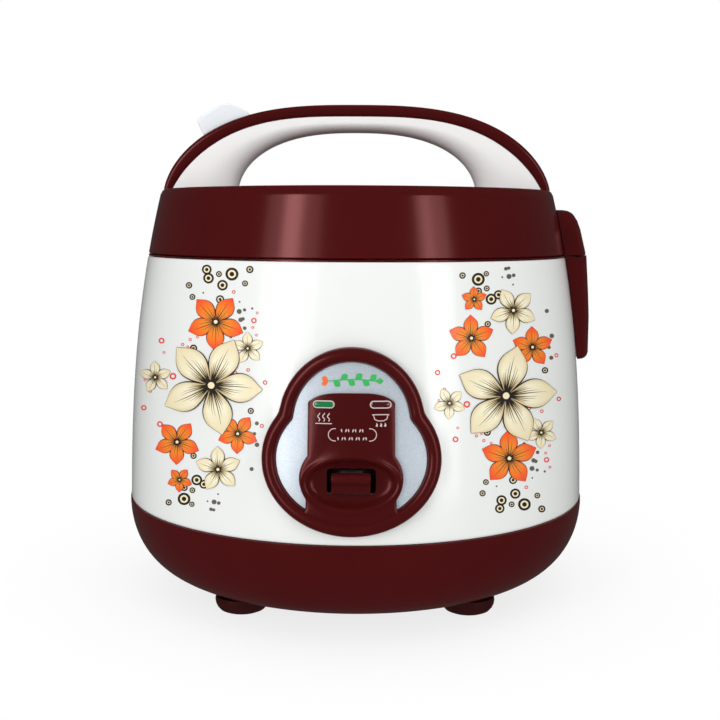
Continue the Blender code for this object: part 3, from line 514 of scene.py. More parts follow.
def make_base():
    outer = []
    for k in range(25):
        t = math.radians(90.0 * k / 24)
        out = (BASE_RADIUS - BASE_FLOOR_RADIUS) * math.cos(t) ** (2 / BASE_POWER)
        drop = (BASE_SEAM - BASE_BOTTOM) * math.sin(t) ** (2 / BASE_POWER)
        outer.append((BASE_FLOOR_RADIUS + out, BASE_SEAM - drop))
    outer[0] = (BASE_RADIUS - 0.5, BASE_SEAM - SEAM_DROP)
    outer.insert(1, (BASE_RADIUS - 0.1, BASE_SEAM - SEAM_DROP - 0.3))
    loop = outer + [(62.0, BASE_BOTTOM), (62.0, 10.3), (55.0, 10.3), (55.0, 12.0), (81.0, 12.0)]
    loop += [(104.0, 16.0), (113.0, 26.0), (116.2, 40.0), (116.2, 55.0), (117.8, 55.0)]
    loop += [(117.8, BASE_SEAM - SEAM_DROP)]
    turned("base_skin", loop, BURGUNDY, "housing", replaced=("base_shell",), slot="burgundy_plastic")


def make_shell():
    roll = 0.5  # the enamelled sheet's rolled edges
    low = BASE_SEAM - SEAM_DROP + 0.25
    outer = [(BODY_RADIUS - roll, low), (BODY_RADIUS - 0.1, low + 0.5)]
    outer += side_points(BASE_SEAM + 1.0, SHELL_TOP - 1.2, 36)
    outer += [(body_radius(SHELL_TOP) - 0.1, SHELL_TOP - 0.4), (body_radius(SHELL_TOP) - roll, SHELL_TOP)]
    inner = side_points(low, SHELL_TOP, 8, 1.3)
    loop = outer + inner[::-1]
    shell = turned("shell_skin", loop, ENAMEL, "housing", replaced=("outer_shell",), slot="white_enamel")
    lever_way = cutter_block((PANEL_X - 10.8, -130.0, SLOT_LOW), (PANEL_X + 10.8, -105.0, SLOT_HIGH))
    inlet_way = cutter_block((-13.3, 105.0, 64.4), (13.3, 130.0, 81.6))
    cut(shell, lever_way, inlet_way)


def make_lid_skins():
    edge_radius = 2.2
    edge_centre = (body_radius(LID_TOP) - edge_radius + 0.2, LID_TOP - edge_radius)
    outer = [(body_radius(LID_LOW) - 0.6, LID_LOW), (body_radius(LID_LOW) - 0.1, LID_LOW + 0.5)]
    outer += side_points(LID_LOW + 1.5, LID_TOP - edge_radius, 12)
    outer += arc(edge_centre, edge_radius, 8.0, 90.0, 6)
    top_inner = LID_TOP - 2.4
    loop = outer + [(60.0, LID_TOP), (0.0, LID_TOP), (0.0, top_inner)]
    loop += [(body_radius(top_inner) - 3.4, top_inner)]
    loop += side_points(LID_LOW, 204.0, 6, 2.4)[::-1]
    lid = turned("lid_skin", loop, BURGUNDY, "lid", replaced=("lid_outer_cover",), slot="burgundy_plastic")
    vent, rod = middle_of("steam_vent_body"), middle_of("release_rod")
    cut(
        lid,
        cutter_bar((vent.x, vent.y, 190.0), (vent.x, vent.y, 220.0), 9.6),
        cutter_bar((rod.x, rod.y, 190.0), (rod.x, rod.y, 220.0), 2.8),
        cutter_block((100.0, -8.6, 170.0), (112.0, 8.6, 188.5)),
    )


def make_inside_skins():
    rim = body_radius(175.0)
    loop = [(94.6, 175.2), (rim - 0.3, 175.2), (rim - 0.1, 175.0), (rim - 0.1, 174.6), (rim - 0.3, 174.5)]
    loop += [(106.2, 174.5), (106.2, 163.0), (104.6, 163.0), (104.6, 172.8), (96.0, 172.8), (96.0, 168.0)]
    loop += [(88.0, 168.0), (88.0, 170.2), (94.2, 170.2), (94.2, 174.8)]
    ring = turned("ring_skin", loop, BURGUNDY, "housing", replaced=("upper_ring",), slot="burgundy_plastic")
    cut(
        ring,
        cutter_block((-103.9, -7.0, 171.0), (-96.3, 7.0, 180.0)),
        cutter_block((98.2, -7.6, 171.0), (104.4, 7.6, 180.0)),
        cutter_block((98.3, -7.5, 174.15), (115.0, 7.5, 180.0)),
    )

    floor, wall, corner, thick = low_of("inner_pot").z, 86.0, 14.0, 1.5
    flange_radius, flange_top = high_of("inner_pot").x, high_of("inner_pot").z
    loop = [(0.0, floor)] + arc((wall - corner, floor + corner), corner, -90.0, 0.0, 10)
    loop += [(wall, flange_top - thick), (flange_radius - 0.5, flange_top - thick)]
    loop += arc((flange_radius - 0.75, flange_top - thick / 2), 0.75, -80.0, 80.0, 4)
    loop += [(wall + 1.0, flange_top), (wall - thick, flange_top - 2.0)]
    loop += arc((wall - corner, floor + corner), corner - thick, 0.0, -90.0, 10) + [(0.0, floor + thick)]
    turned("pot_skin", loop, NON_STICK, "pot", replaced=("inner_pot",), slot="non_stick")
    inner_wall = wall - thick - 0.05
    for k, height in enumerate((92.0, 106.0, 120.0, 134.0)):
        points, stations = [], 7
        for s in range(stations):
            angle = math.radians(84 + 2 * s)
            for lift, z in ((0.0, height), (0.0, height + 0.9), (0.25, height + 0.9), (0.25, height)):
                radius = inner_wall - lift
                points.append((radius * math.cos(angle), radius * math.sin(angle), z))
        faces = capped_faces(stations, 4)
        piece(f"pot_level_mark_{k + 1}", points, faces, PRINT_WHITE, "pot", slot="white_plastic")

    gasket = [(84.2, 173.4), (84.2, 175.5), (84.4, 175.7), (91.8, 175.7), (92.0, 175.5), (92.0, 172.6)]
    gasket += arc((91.2, 172.9), 0.6, 0.0, -180.0, 6)
    gasket += [(90.0, 173.6), (88.6, 174.2), (86.0, 174.0), (85.0, 173.4)]
    turned("gasket_skin", gasket, SILICONE, "lid", replaced=("lid_gasket",), slot="clear_silicone")


# ---------------------------------------------------------------- handle

# Each arch is a curve of half width, foot height, rise, and the two powers that shape its shoulders
OUTER_ARCH = (100.3, 205.0, 46.6, 2.85, 1.72)
RIM_ARCH = (98.4, 200.0, 45.8, 3.09, 1.42)
OPENING_ARCH = (63.1, 205.0, 33.5, 2.48, 2.09)
HANDLE_STEPS = 110


def arch_points(arch, low=HANDLE_FOOT):
    half_width, foot, rise, power_x, power_z = arch
    edge_x = half_width * (1 - ((low - foot) / rise) ** power_z) ** (1 / power_x)
    xs = [-edge_x * math.cos(math.pi * k / HANDLE_STEPS) for k in range(HANDLE_STEPS + 1)]
    return [Vector((x, 0.0, arch_height(arch, x))) for x in xs]


def arch_height(arch, x):
    half_width, foot, rise, power_x, power_z = arch
    return foot + rise * (1 - abs(x / half_width) ** power_x) ** (1 / power_z)


def lofted(name, outer, inner, section, material, replaced, slot):
    """A bar between two arches. Section points are (share from outer to inner, y)."""
    points = []
    for a, b in zip(outer, inner):
        points += [a.lerp(b, share) + Vector((0.0, y, 0.0)) for share, y in section]
    faces = capped_faces(len(outer), len(section))
    return piece(name, points, faces, material, "lid", replaced=replaced, slot=slot, smooth_below=50.0)


def make_handle():
    half = high_of("handle_rim").y
    soft = 2.4  # rounding of the rim's long edges
    edge = []
    for k in range(5, -1, -1):
        a = math.radians(18 * k)
        edge.append((0.34 * (1 - math.sin(a)), half - soft * (1 - math.cos(a))))
    edge += [(0.82, half), (1.0, half - 0.6)]
    section = edge + [(share, -y) for share, y in reversed(edge)]
    rim = lofted(
        "handle_rim_skin", arch_points(OUTER_ARCH), arch_points(RIM_ARCH), section, BURGUNDY,
        ("handle_rim",), "burgundy_plastic",
    )
    pocket = [(x, arch_height(OUTER_ARCH, x) - 4.6) for x in (-84.0, -78.0, -71.0, -63.0, -52.4)]
    pocket += [(-52.4, 262.0), (-84.0, 262.0)]
    cut(rim, prism("cutter", pocket, None, None, "y", -10.2, 10.2))

    half_web = high_of("handle_web").y
    half_width, foot, rise, power_x, power_z = RIM_ARCH
    web_outer = (half_width - 0.3, foot, rise - 0.3, power_x, power_z)
    profile = []
    for k in range(13):
        a = math.radians(90 * k / 12)
        profile.append((0.42 + 0.58 * math.sin(a), half_web * (0.28 + 0.72 * math.cos(a) ** 0.8)))
    section = [(0.0, half_web)] + profile
    section += [(s, -y) for s, y in reversed(section)]
    lofted(
        "handle_web_skin", arch_points(web_outer), arch_points(OPENING_ARCH), section, WHITE,
        ("handle_web",), "white_plastic",
    )


def make_button():
    lower = [(x, arch_height(OUTER_ARCH, x) - 1.6) for x in (-56.2, -59.0, -64.0, -69.0, -74.0, -78.6)]
    upper = [(-81.6, 240.6), (-82.6, 243.4), (-82.5, 244.4), (-81.8, 245.2), (-79.6, 246.5), (-72.2, 250.8)]
    upper += [(-70.6, 251.6), (-69.2, 252.2), (-67.6, 252.4), (-65.8, 252.2), (-62.4, 251.0), (-58.6, 249.2)]
    upper += [(-56.6, 248.0), (-55.6, 247.0), (-55.4, 246.0)]
    names = {"replaced": ("release_button",), "slot": "pale_button"}
    button = prism("button_skin", lower + upper, BUTTON, "button", "y", -9.5, 9.5, **names)
    bevel(button, 1.1, 4, 55.0)


# ---------------------------------------------------------------- control panel
# u runs round the body, z is the height, and lift is the distance outside the body's surface.

PANEL_CENTRE = (PANEL_X, 78.6)
UPPER_LOBE = (32.4, 105.2)
LOWER_LOBE = (40.1, 34.0, 88.2)


def in_panel(u, z, inset=0.0):
    radius, height = UPPER_LOBE
    wide, tall, middle = LOWER_LOBE
    near = math.hypot(u - PANEL_X, z - height) / (radius - inset)
    across, up = abs(u - PANEL_X) / (wide - inset), abs(z - middle) / (tall - inset)
    low = math.hypot(across, up)
    blend = 60.0  # how tightly the two lobes join at the neck
    return max(near, 1e-6) ** -blend + max(low, 1e-6) ** -blend > 1.0


def in_oval(u, z, wide, low, high, power=2.0):
    middle, tall = (low + high) / 2, (high - low) / 2
    return (abs(u - PANEL_X) / wide) ** power + (abs(z - middle) / tall) ** power < 1.0


def in_centre_plate(u, z, inset=0.0):
    across = abs(u - PANEL_X)
    top = 117.7 - 4.0 * (across / 19.0) ** 4
    upright = across < 19.0 - inset and 85.0 < z < top - inset
    lobe = in_oval(u, z, 22.6 - inset, 61.5 + inset, 98.5 - inset)
    flare = 19.6 + 1.6 * max(0.0, (68.0 - z) / 4.0) ** 2
    foot = across < flare - inset and 52.0 < z < 75.0 and in_panel(u, z, 4.2 + inset)
    return upright or lobe or foot


def in_slot(u, z, grow=0.0):
    return in_oval(u, z, 10.8 + grow, SLOT_LOW - grow, SLOT_HIGH + grow, 8.0)


def edge_points(inside, segments=288):
    points = []
    for k in range(segments):
        angle = 2 * math.pi * k / segments
        du, dz = math.cos(angle), math.sin(angle)
        near, far = 0.0, 80.0
        for _ in range(24):
            reach = (near + far) / 2
            if inside(PANEL_CENTRE[0] + reach * du, PANEL_CENTRE[1] + reach * dz):
                near = reach
            else:
                far = reach
        points.append((PANEL_CENTRE[0] + near * du, PANEL_CENTRE[1] + near * dz))
    return points


def midway(edge, other, share):
    return [(a[0] + (b[0] - a[0]) * share, a[1] + (b[1] - a[1]) * share) for a, b in zip(edge, other)]


def on_side(u, z, lift):
    angle = u / BODY_RADIUS
    radius = body_radius(z) + lift
    return (radius * math.sin(angle), -radius * math.cos(angle), z)


def wrapped_ring(name, stations, material, replaced, slot):
    """A closed ring on the body's side from (edge, lift) stations."""
    points = [on_side(u, z, lift) for edge, lift in stations for u, z in edge]
    faces = band_faces(len(stations), len(stations[0][0]), closed=True)
    return piece(name, points, faces, material, "housing", replaced=replaced, slot=slot)


def make_panel():
    profile = [(0.0, 0.35), (0.0, 2.4)]
    for k in range(1, 12):
        a = math.radians(180 - 15 * k)
        profile.append((3.2 + 3.2 * math.cos(a), 2.4 + 2.9 * math.sin(a)))
    profile += [(6.4, 2.4), (6.4, 0.35)]
    stations = [(edge_points(lambda u, z: in_panel(u, z, inset)), lift) for inset, lift in profile]
    wrapped_ring("panel_ring_skin", stations, BURGUNDY_PANEL, ("panel_frame",), "burgundy_plastic")

    outer = edge_points(lambda u, z: in_panel(u, z, 6.6))
    inner = edge_points(lambda u, z: in_oval(u, z, 21.8, 64.2, 91.8))
    shares = (0.0, 0.2, 0.4, 0.6, 0.8, 1.0)
    front = [(midway(outer, inner, s), 2.1) for s in shares]
    back = [(midway(outer, inner, s), 0.4) for s in reversed(shares)]
    wrapped_ring("fascia_skin", front + back, FASCIA, ("panel_fascia",), "silver_blue")

    outer = edge_points(in_centre_plate)
    slot_edge = edge_points(in_slot)
    stations = [(edge_points(lambda u, z: in_oval(u, z, 17.4, 68.2, 88.2)), 0.5)]
    stations += [(edge_points(lambda u, z: in_oval(u, z, 21.4, 64.6, 91.4)), 2.45)]
    stations += [(outer, 2.45), (outer, 3.5)]
    stations += [(edge_points(lambda u, z: in_centre_plate(u, z, 0.25)), 3.95)]
    stations += [(edge_points(lambda u, z: in_centre_plate(u, z, 0.8)), 4.15)]
    lobe = edge_points(lambda u, z: in_oval(u, z, 21.6, 64.4, 91.6))
    plate_edge = stations[-1][0]
    stations += [(midway(plate_edge, lobe, s), 4.2) for s in (0.35, 0.7)]
    bowl = (
        (21.6, 64.4, 91.6, 2.0, 4.25),
        (21.0, 65.2, 90.9, 2.0, 4.75),
        (20.4, 65.9, 90.2, 2.0, 5.0),
        (19.8, 66.6, 89.5, 2.0, 4.8),
        (19.2, 67.2, 88.9, 2.0, 4.2),
        (18.4, 68.0, 88.2, 2.1, 3.1),
        (17.2, 69.0, 87.4, 2.2, 2.1),
        (15.4, 70.2, 86.5, 2.6, 1.4),
        (13.0, 71.5, 85.7, 3.4, 1.1),
    )
    for wide, low, high, power, lift in bowl:
        stations.append((edge_points(lambda u, z: in_oval(u, z, wide, low, high, power)), lift))
    stations += [(slot_edge, 1.0), (slot_edge, 0.5)]
    wrapped_ring("centre_plate_skin", stations, BURGUNDY_PANEL, ("panel_centre",), "burgundy_plastic")


class Print:
    """Thin printed or applied shapes on the body's side, gathered into one piece."""

    def __init__(self, place):
        self.place = place  # turns (a, z, lift) into a point
        self.points, self.faces, self.uvs = [], [], []

    def grid(self, rows, low, high, uvs=None):
        """A closed sheet from rows of (a, z) points, between two lifts."""
        across, count = len(rows[0]), len(rows)
        start = len(self.points)
        for lift in (low, high):
            for r, row in enumerate(rows):
                for c, (a, z) in enumerate(row):
                    self.points.append(self.place(a, z, lift))
                    self.uvs.append(uvs[r][c] if uvs else (0.0, 0.0))
        size = across * count
        for layer in (0, size):
            for r in range(count - 1):
                for c in range(across - 1):
                    k = start + layer + r * across + c
                    self.faces.append((k, k + 1, k + across + 1, k + across))
        border = [(0, c) for c in range(across)] + [(r, across - 1) for r in range(1, count)]
        border += [(count - 1, c) for c in range(across - 2, -1, -1)]
        border += [(r, 0) for r in range(count - 2, 0, -1)]
        ring = [start + r * across + c for r, c in border]
        for k, here in enumerate(ring):
            there = ring[(k + 1) % len(ring)]
            self.faces.append((here, there, there + size, here + size))

    def ribbon(self, path, width, low, high):
        """A stripe along a path of (a, z) points. Width may be one number or one for each point."""
        widths = width if isinstance(width, (list, tuple)) else [width] * len(path)
        rows = []
        for k, (a, z) in enumerate(path):
            before, after = path[max(k - 1, 0)], path[min(k + 1, len(path) - 1)]
            da, dz = after[0] - before[0], after[1] - before[1]
            size = math.hypot(da, dz) or 1.0
            na, nz = -dz / size * widths[k] / 2, da / size * widths[k] / 2
            rows.append([(a + na, z + nz), (a - na, z - nz)])
        self.grid(rows, low, high)

    def ring(self, centre, outer, inner, low, high, steps=20):
        """A flat ring, or a disc where inner is 0."""
        inner = inner or outer * 0.02
        start = len(self.points)
        for radius, lift in ((outer, low), (outer, high), (inner, high), (inner, low)):
            for k in range(steps):
                angle = 2 * math.pi * k / steps
                a, z = centre[0] + radius * math.cos(angle), centre[1] + radius * math.sin(angle)
                self.points.append(self.place(a, z, lift))
                self.uvs.append((0.0, 0.0))
        self.faces += band_faces(4, steps, start, closed=True)

    def make(self, name, material, slot, with_uv=False):
        uvs = self.uvs if with_uv else None
        return piece(name, self.points, self.faces, material, "housing", slot=slot, petal_uv=uvs)


def stadium(centre, half_length, half_height, steps=10):
    right = arc((centre[0] + half_length - half_height, centre[1]), half_height, -90.0, 90.0, steps)
    left = arc((centre[0] - half_length + half_height, centre[1]), half_height, 90.0, 270.0, steps)
    return right + left


PLATE_FACE = 4.2  # lift of the centre plate's face


def make_lamps_and_icons():
    half_length, half_height = 4.4, 1.4
    lamps = (
        (-11.9, "warm_lens_skin", GREEN_LENS, "warm_lamp_lens", "green_lens"),
        (12.6, "cook_lens_skin", DARK_LENS, "cook_lamp_lens", "dark_lens"),
    )
    outline = Print(on_side)
    for offset, name, material, node, slot in lamps:
        centre = (PANEL_X + offset, 113.0)
        rim = stadium(centre, half_length - 0.3, half_height - 0.3)
        crown = stadium(centre, half_length - 0.75, half_height - 0.75)
        stations = ((rim, 4.3), (rim, 4.75), (crown, 5.0))
        points = [on_side(u, z, lift) for edge, lift in stations for u, z in edge]
        faces = capped_faces(3, len(rim))
        piece(name, points, faces, material, "housing", replaced=(node,), slot=slot)
        path = stadium(centre, half_length + 0.05, half_height + 0.05)
        outline.ribbon(path + path[:2], 0.48, PLATE_FACE - 0.2, PLATE_FACE + 0.42)
    outline.make("lamp_outlines", PRINT_WHITE, "white_plastic")

    marks = Print(on_side)
    low, high = PLATE_FACE - 0.15, PLATE_FACE + 0.12
    for k in (-1, 0, 1):  # keep-warm: three rising waves
        middle = PANEL_X - 11.9 + k * 2.1
        path = [(middle + 0.45 * math.sin(0.88 * n), 105.6 + 0.4 * n) for n in range(10)]
        marks.ribbon(path, 0.42, low, high)
    marks.ribbon([(PANEL_X - 15.5, 104.6), (PANEL_X - 8.3, 104.6)], 0.4, low, high)
    pot_x, pot_z = PANEL_X + 12.6, 106.0  # cook: a pot over a flame
    bowl = [(pot_x - 3.1, pot_z + 2.4), (pot_x - 2.6, pot_z + 0.6), (pot_x - 1.2, pot_z - 0.1)]
    bowl += [(pot_x + 1.2, pot_z - 0.1), (pot_x + 2.6, pot_z + 0.6), (pot_x + 3.1, pot_z + 2.4)]
    marks.ribbon(bowl, 0.4, low, high)
    marks.ribbon([(pot_x - 3.7, pot_z + 2.6), (pot_x + 3.7, pot_z + 2.6)], 0.4, low, high)
    for x in (pot_x - 1.8, pot_x, pot_x + 1.8):
        flame = [(x, pot_z - 2.6), (x + 0.25, pot_z - 1.7), (x, pot_z - 1.0)]
        marks.ribbon(flame, [0.9, 0.7, 0.15], low, high)
    middle_z = 99.8
    for side in (-1, 1):  # the pair of curved brackets
        centre = (PANEL_X + 0.5 + side * 7.6, middle_z)
        start = -90.0 * side
        tail_x = centre[0] - side * 0.5
        path = [(tail_x, middle_z - side * 2.7)] + arc(centre, 2.7, start, start + 180.0, 14)
        path += [(tail_x, middle_z + side * 2.7)]
        marks.ribbon(path, 0.36, low, high)
    for row, count in ((-1, 9), (1, 7)):  # two rows of rice grains
        for k in range(count):
            grain = (PANEL_X + 0.5 + (k - (count - 1) / 2) * 1.5, middle_z + 1.75 * row - 0.7)
            tilt = math.radians(72 if k % 2 else 100)
            leaf(marks, grain, tilt, 1.6, 0.30, low, high, 6, 2)
    marks.make("panel_icons", PRINT_WHITE, "white_plastic")

    make_sprig()


def make_sprig():
    """A small leafy sprig on the fascia, of no particular plant."""
    low, high = 2.0, 2.35
    green, orange = Print(on_side), Print(on_side)
    stem_left, stem_right, stem_z = PANEL_X - 10.0, PANEL_X + 10.5, 122.8

    def on_stem(t):
        return (stem_left + (stem_right - stem_left) * t, stem_z + 0.8 * math.sin(3.0 * t))

    stem = [on_stem(k / 16) for k in range(17)]
    green.ribbon(stem, 0.4, low, high)
    for k in range(6):
        angle = math.radians(38 if k % 2 else -38)
        leaf(green, on_stem((k + 0.6) / 6.4), angle, 3.9, 1.35, low, high)
    leaf(green, stem[-1], 0.0, 3.6, 1.2, low, high)
    for dz in (-1.0, 1.0):
        leaf(orange, (stem_left - 0.4, stem_z), math.pi - dz * 0.55, 3.2, 1.1, low, high)
    green.make("sprig_leaves", PRINT_GREEN, "green_lens")
    orange.make("sprig_buds", PRINT_ORANGE, "burgundy_plastic")


# How wide a leaf or petal is along its length, as shares of its length and of its greatest width
LEAF_SHAPE = (
    (0.0, 0.08),
    (0.1, 0.22),
    (0.2, 0.44),
    (0.3, 0.68),
    (0.4, 0.87),
    (0.5, 0.97),
    (0.6, 1.0),
    (0.7, 0.91),
    (0.8, 0.70),
    (0.88, 0.43),
    (0.94, 0.20),
    (1.0, 0.0),
)


def leaf_half_width(s, width):
    """Half width of a pointed oval at share s of its length."""
    for (s0, w0), (s1, w1) in zip(LEAF_SHAPE, LEAF_SHAPE[1:]):
        if s <= s1:
            return width * (w0 + (w1 - w0) * (s - s0) / (s1 - s0)) + 0.015
    return 0.015


def leaf(target, foot, angle, length, width, low, high, rows=14, across=3, swell=0.0):
    """A pointed oval from its foot outwards, with surface coordinates along it and out from its middle."""
    grid, uvs = [], []
    ca, sa = math.cos(angle), math.sin(angle)
    for r in range(rows + 1):
        s = r / rows
        half = leaf_half_width(s, width) + swell * (1.5 - s)
        row, uv_row = [], []
        for c in range(-across, across + 1):
            t = c / across
            along, side = s * (length + swell) - swell, t * half
            row.append((foot[0] + along * ca - side * sa, foot[1] + along * sa + side * ca))
            uv_row.append((s, abs(t)))
        grid.append(row)
        uvs.append(uv_row)
    target.grid(grid, low, high, uvs)


# ---------------------------------------------------------------- printed flowers
# The print is laid out flat, on an upright sheet that touches the front of the body, and carried back to
# the body's side along the camera's lines of sight. Places are across and up, in millimetres.

EYE = Vector(CAMERA_PLACE)


def on_front(across, up, lift):
    toward = Vector((across, -BODY_RADIUS, up)) - EYE
    flat = toward.x**2 + toward.y**2
    half = EYE.x * toward.x + EYE.y * toward.y
    reach = 1.0
    for _ in range(5):
        radius = body_radius(EYE.z + toward.z * reach)
        rest = EYE.x**2 + EYE.y**2 - radius**2
        reach = (-half - math.sqrt(max(half**2 - flat * rest, 0.0))) / flat
    point = EYE + toward * reach
    outward = Vector((point.x, point.y, 0.0)).normalized()
    return point + outward * lift


# The angles of a flower's five petals, in degrees
GRAND = (-5, 63, 132, 204, 282)
CREAM = (23, 91, 160, 240, 315)
ORANGE = (54, 130, 199, 267, 338)


class Flowers:
    """One cluster's flowers, rings and dots, gathered by colour."""

    def __init__(self):
        self.dark, self.cream, self.orange = Print(on_front), Print(on_front), Print(on_front)
        self.light, self.coral, self.grey = Print(on_front), Print(on_front), Print(on_front)

    def vein(self, centre, angle, radius, width, share, start, end, thick, lift):
        path, widths = [], []
        ca, sa = math.cos(angle), math.sin(angle)
        steps = 8
        for n in range(steps + 1):
            s = start + (end - start) * n / steps
            along, side = s * radius, share * leaf_half_width(s, width)
            path.append((centre[0] + along * ca - side * sa, centre[1] + along * sa + side * ca))
            widths.append(thick * (1.08 - n / steps))
        self.dark.ribbon(path, widths, lift, lift + 0.02)

    def flower(self, centre, radius, petals, up, level):
        """Five petals, each with a dark outline below it and veins above it."""
        fill = self.orange if petals is ORANGE else self.cream
        base = 0.06 + 0.12 * level
        width = radius * (0.295 if petals is ORANGE else 0.28)
        for degrees in petals:
            angle = math.radians(up * degrees)
            leaf(self.dark, centre, angle, radius, width, base, base + 0.03, swell=0.14 + 0.012 * radius)
            leaf(fill, centre, angle, radius, width, base + 0.03, base + 0.06)
            thick = 0.14 + 0.022 * radius
            top = base + 0.06
            self.vein(centre, angle, radius, width, 0.08, 0.06, 0.80, thick, top)
            streaks = ((0.42, 0.52), (-0.36, 0.58), (0.72, 0.34), (-0.72, 0.36))
            if radius > 15:
                streaks += ((0.24, 0.66), (-0.2, 0.62), (0.56, 0.44), (-0.55, 0.47))
            for share, end in streaks:
                self.vein(centre, angle, radius, width, share, 0.05, end, thick * 0.8, top)
        self.dark.ring(centre, radius * 0.115, 0, base + 0.08, base + 0.11)
        self.light.ring(centre, radius * 0.066, 0, base + 0.11, base + 0.13)

    def target(self, centre, radius):
        pale = 0.63 if radius > 1.7 else 0.56
        self.dark.ring(centre, radius, 0, 0.02, 0.04)
        self.light.ring(centre, radius * pale, 0, 0.04, 0.05)
        self.dark.ring(centre, radius * 0.36, 0, 0.05, 0.06)

    def make(self, side):
        sheets = (
            (self.dark, "flower_lines", PRINT_DARK),
            (self.cream, "cream_petals", CREAM_PETAL),
            (self.orange, "orange_petals", ORANGE_PETAL),
            (self.light, "flower_hearts", PRINT_CREAM),
            (self.coral, "coral_rings", PRINT_RED),
            (self.grey, "grey_dots", PRINT_GREY),
        )
        for sheet, name, paint in sheets:
            with_uv = paint in (CREAM_PETAL, ORANGE_PETAL)
            sheet.make(f"{name}_{side}", paint, "white_enamel", with_uv)


# Both clusters are placed from their large flower, across and up. The right one is the left one upside down.
CLUSTERS = (("left", (-62.4, 121.0), 1), ("right", (65.4, 117.0), -1))
# Flowers as (across, up, radius, petals, layer)
BLOSSOMS = (
    (0.0, 0.0, 22.2, GRAND, 2),
    (2.1, 27.7, 12.6, ORANGE, 0),
    (15.8, 16.2, 7.2, CREAM, 0),
    (-24.4, 3.4, 7.2, CREAM, 0),
    (-15.3, -25.1, 10.1, ORANGE, 0),
    (11.2, -21.3, 9.0, ORANGE, 0),
    (2.5, -37.2, 10.3, CREAM, 1),
    (-14.4, -41.9, 5.6, ORANGE, 1),
)
# Targets, coral rings and grey dots as (across, up, radius)
TARGETS = (
    (-1.6, 50.2, 2.1), (-0.9, 46.5, 2.3), (5.1, 43.5, 2.3), (9.2, 48.3, 2.8), (3.6, 48.3, 1.3),
    (16.9, 50.3, 1.6), (14.8, 44.3, 1.3), (-9.3, 43.4, 1.4), (-7.9, 38.4, 1.3), (4.0, 37.4, 1.8),
    (-7.7, 16.2, 1.6), (16.9, -11.2, 1.4), (-8.3, -31.2, 1.4), (-7.0, -42.0, 2.4), (-3.9, -43.9, 2.0),
    (-9.0, -46.6, 1.3), (-12.7, -50.5, 2.8), (-9.3, -52.9, 1.2), (-19.5, -52.1, 1.4), (-12.5, -45.5, 1.5),
)
CORAL_RINGS = (
    (-21.5, 19.4, 1.3), (-16.8, 3.9, 1.5), (-29.7, -10.0, 1.2), (-22.8, -17.2, 1.3), (18.5, 28.3, 1.2),
    (23.2, 1.3, 1.0), (15.9, 6.8, 0.8), (21.7, -17.8, 0.9), (9.9, 40.6, 0.8), (10.3, 5.5, 0.9),
    (-20.6, 14.3, 0.6), (-29.0, 2.2, 0.6), (-26.7, -2.7, 0.7), (20.0, 31.6, 0.6), (18.0, 25.3, 0.6),
    (19.6, 22.0, 0.6), (-9.1, 19.9, 0.7), (-12.4, 17.8, 0.7), (-5.9, 21.0, 0.6), (-10.2, 16.9, 0.5),
)
GREY_DOTS = (
    (12.2, 32.2, 1.1), (14.5, 32.9, 0.7), (12.8, 28.6, 1.0), (13.8, 29.0, 0.8), (14.5, 25.0, 0.8),
    (17.8, 33.5, 0.5), (12.4, 36.4, 0.4), (-3.2, 40.2, 0.4), (8.5, 21.2, 0.7), (19.5, -16.7, 0.9),
    (18.4, -21.3, 0.8), (19.5, -26.2, 1.0), (17.1, -37.0, 0.9), (0.5, -51.8, 1.1), (2.5, -52.3, 0.8),
    (-2.4, -51.5, 0.4), (2.3, -48.3, 0.4), (-0.9, -55.1, 0.8), (0.3, -55.4, 0.7),
)


def make_flowers():
    for side, (a0, z0), up in CLUSTERS:
        print_set = Flowers()
        for across, rise, radius, petals, level in BLOSSOMS:
            print_set.flower((a0 + across, z0 + up * rise), radius, petals, up, level)
        for across, rise, radius in TARGETS:
            print_set.target((a0 + across, z0 + up * rise), radius)
        for across, rise, radius in CORAL_RINGS:
            print_set.coral.ring((a0 + across, z0 + up * rise), radius, radius * 0.5, 0.02, 0.05)
        for across, rise, radius in GREY_DOTS:
            print_set.grey.ring((a0 + across, z0 + up * rise), radius, 0, 0.02, 0.04, 14)
        print_set.make(side)


# ---------------------------------------------------------------- hinge cover, dew cup, feet and vent cap

HINGE_AXIS = (113.5, 181.0)
SIDE_CENTRE, SIDE_RADIUS = 57.0, 65.9  # the round outer side of both pieces, seen from above


def side_plan(half_width, inset):
    """The plan of the two pieces on the body's right side."""
    corner = 2.4
    edge, half = SIDE_RADIUS - inset, half_width - max(0.0, inset - 4.2)
    tilt = math.asin((half - corner) / edge)
    flat_end = SIDE_CENTRE + edge * math.cos(tilt) - corner
    plan = [(100.0, half), (flat_end, half)]
    plan += arc((SIDE_CENTRE, 0.0), edge, math.degrees(tilt), -math.degrees(tilt), 24)
    return plan + [(flat_end, -half), (100.0, -half)]


def stacked(name, half_width, levels, material, body, **more):
    """Plans piled up from (height, inset) levels."""
    points = []
    for height, inset in levels:
        points += [(x, y, height) for x, y in side_plan(half_width, inset)]
    faces = capped_faces(len(levels), len(points) // len(levels))
    return piece(name, points, faces, material, body, **more)


def body_cutter(low, high, inset):
    return turned("cutter", [(0.0, low)] + side_points(low, high, 6, inset) + [(0.0, high)], None, None)


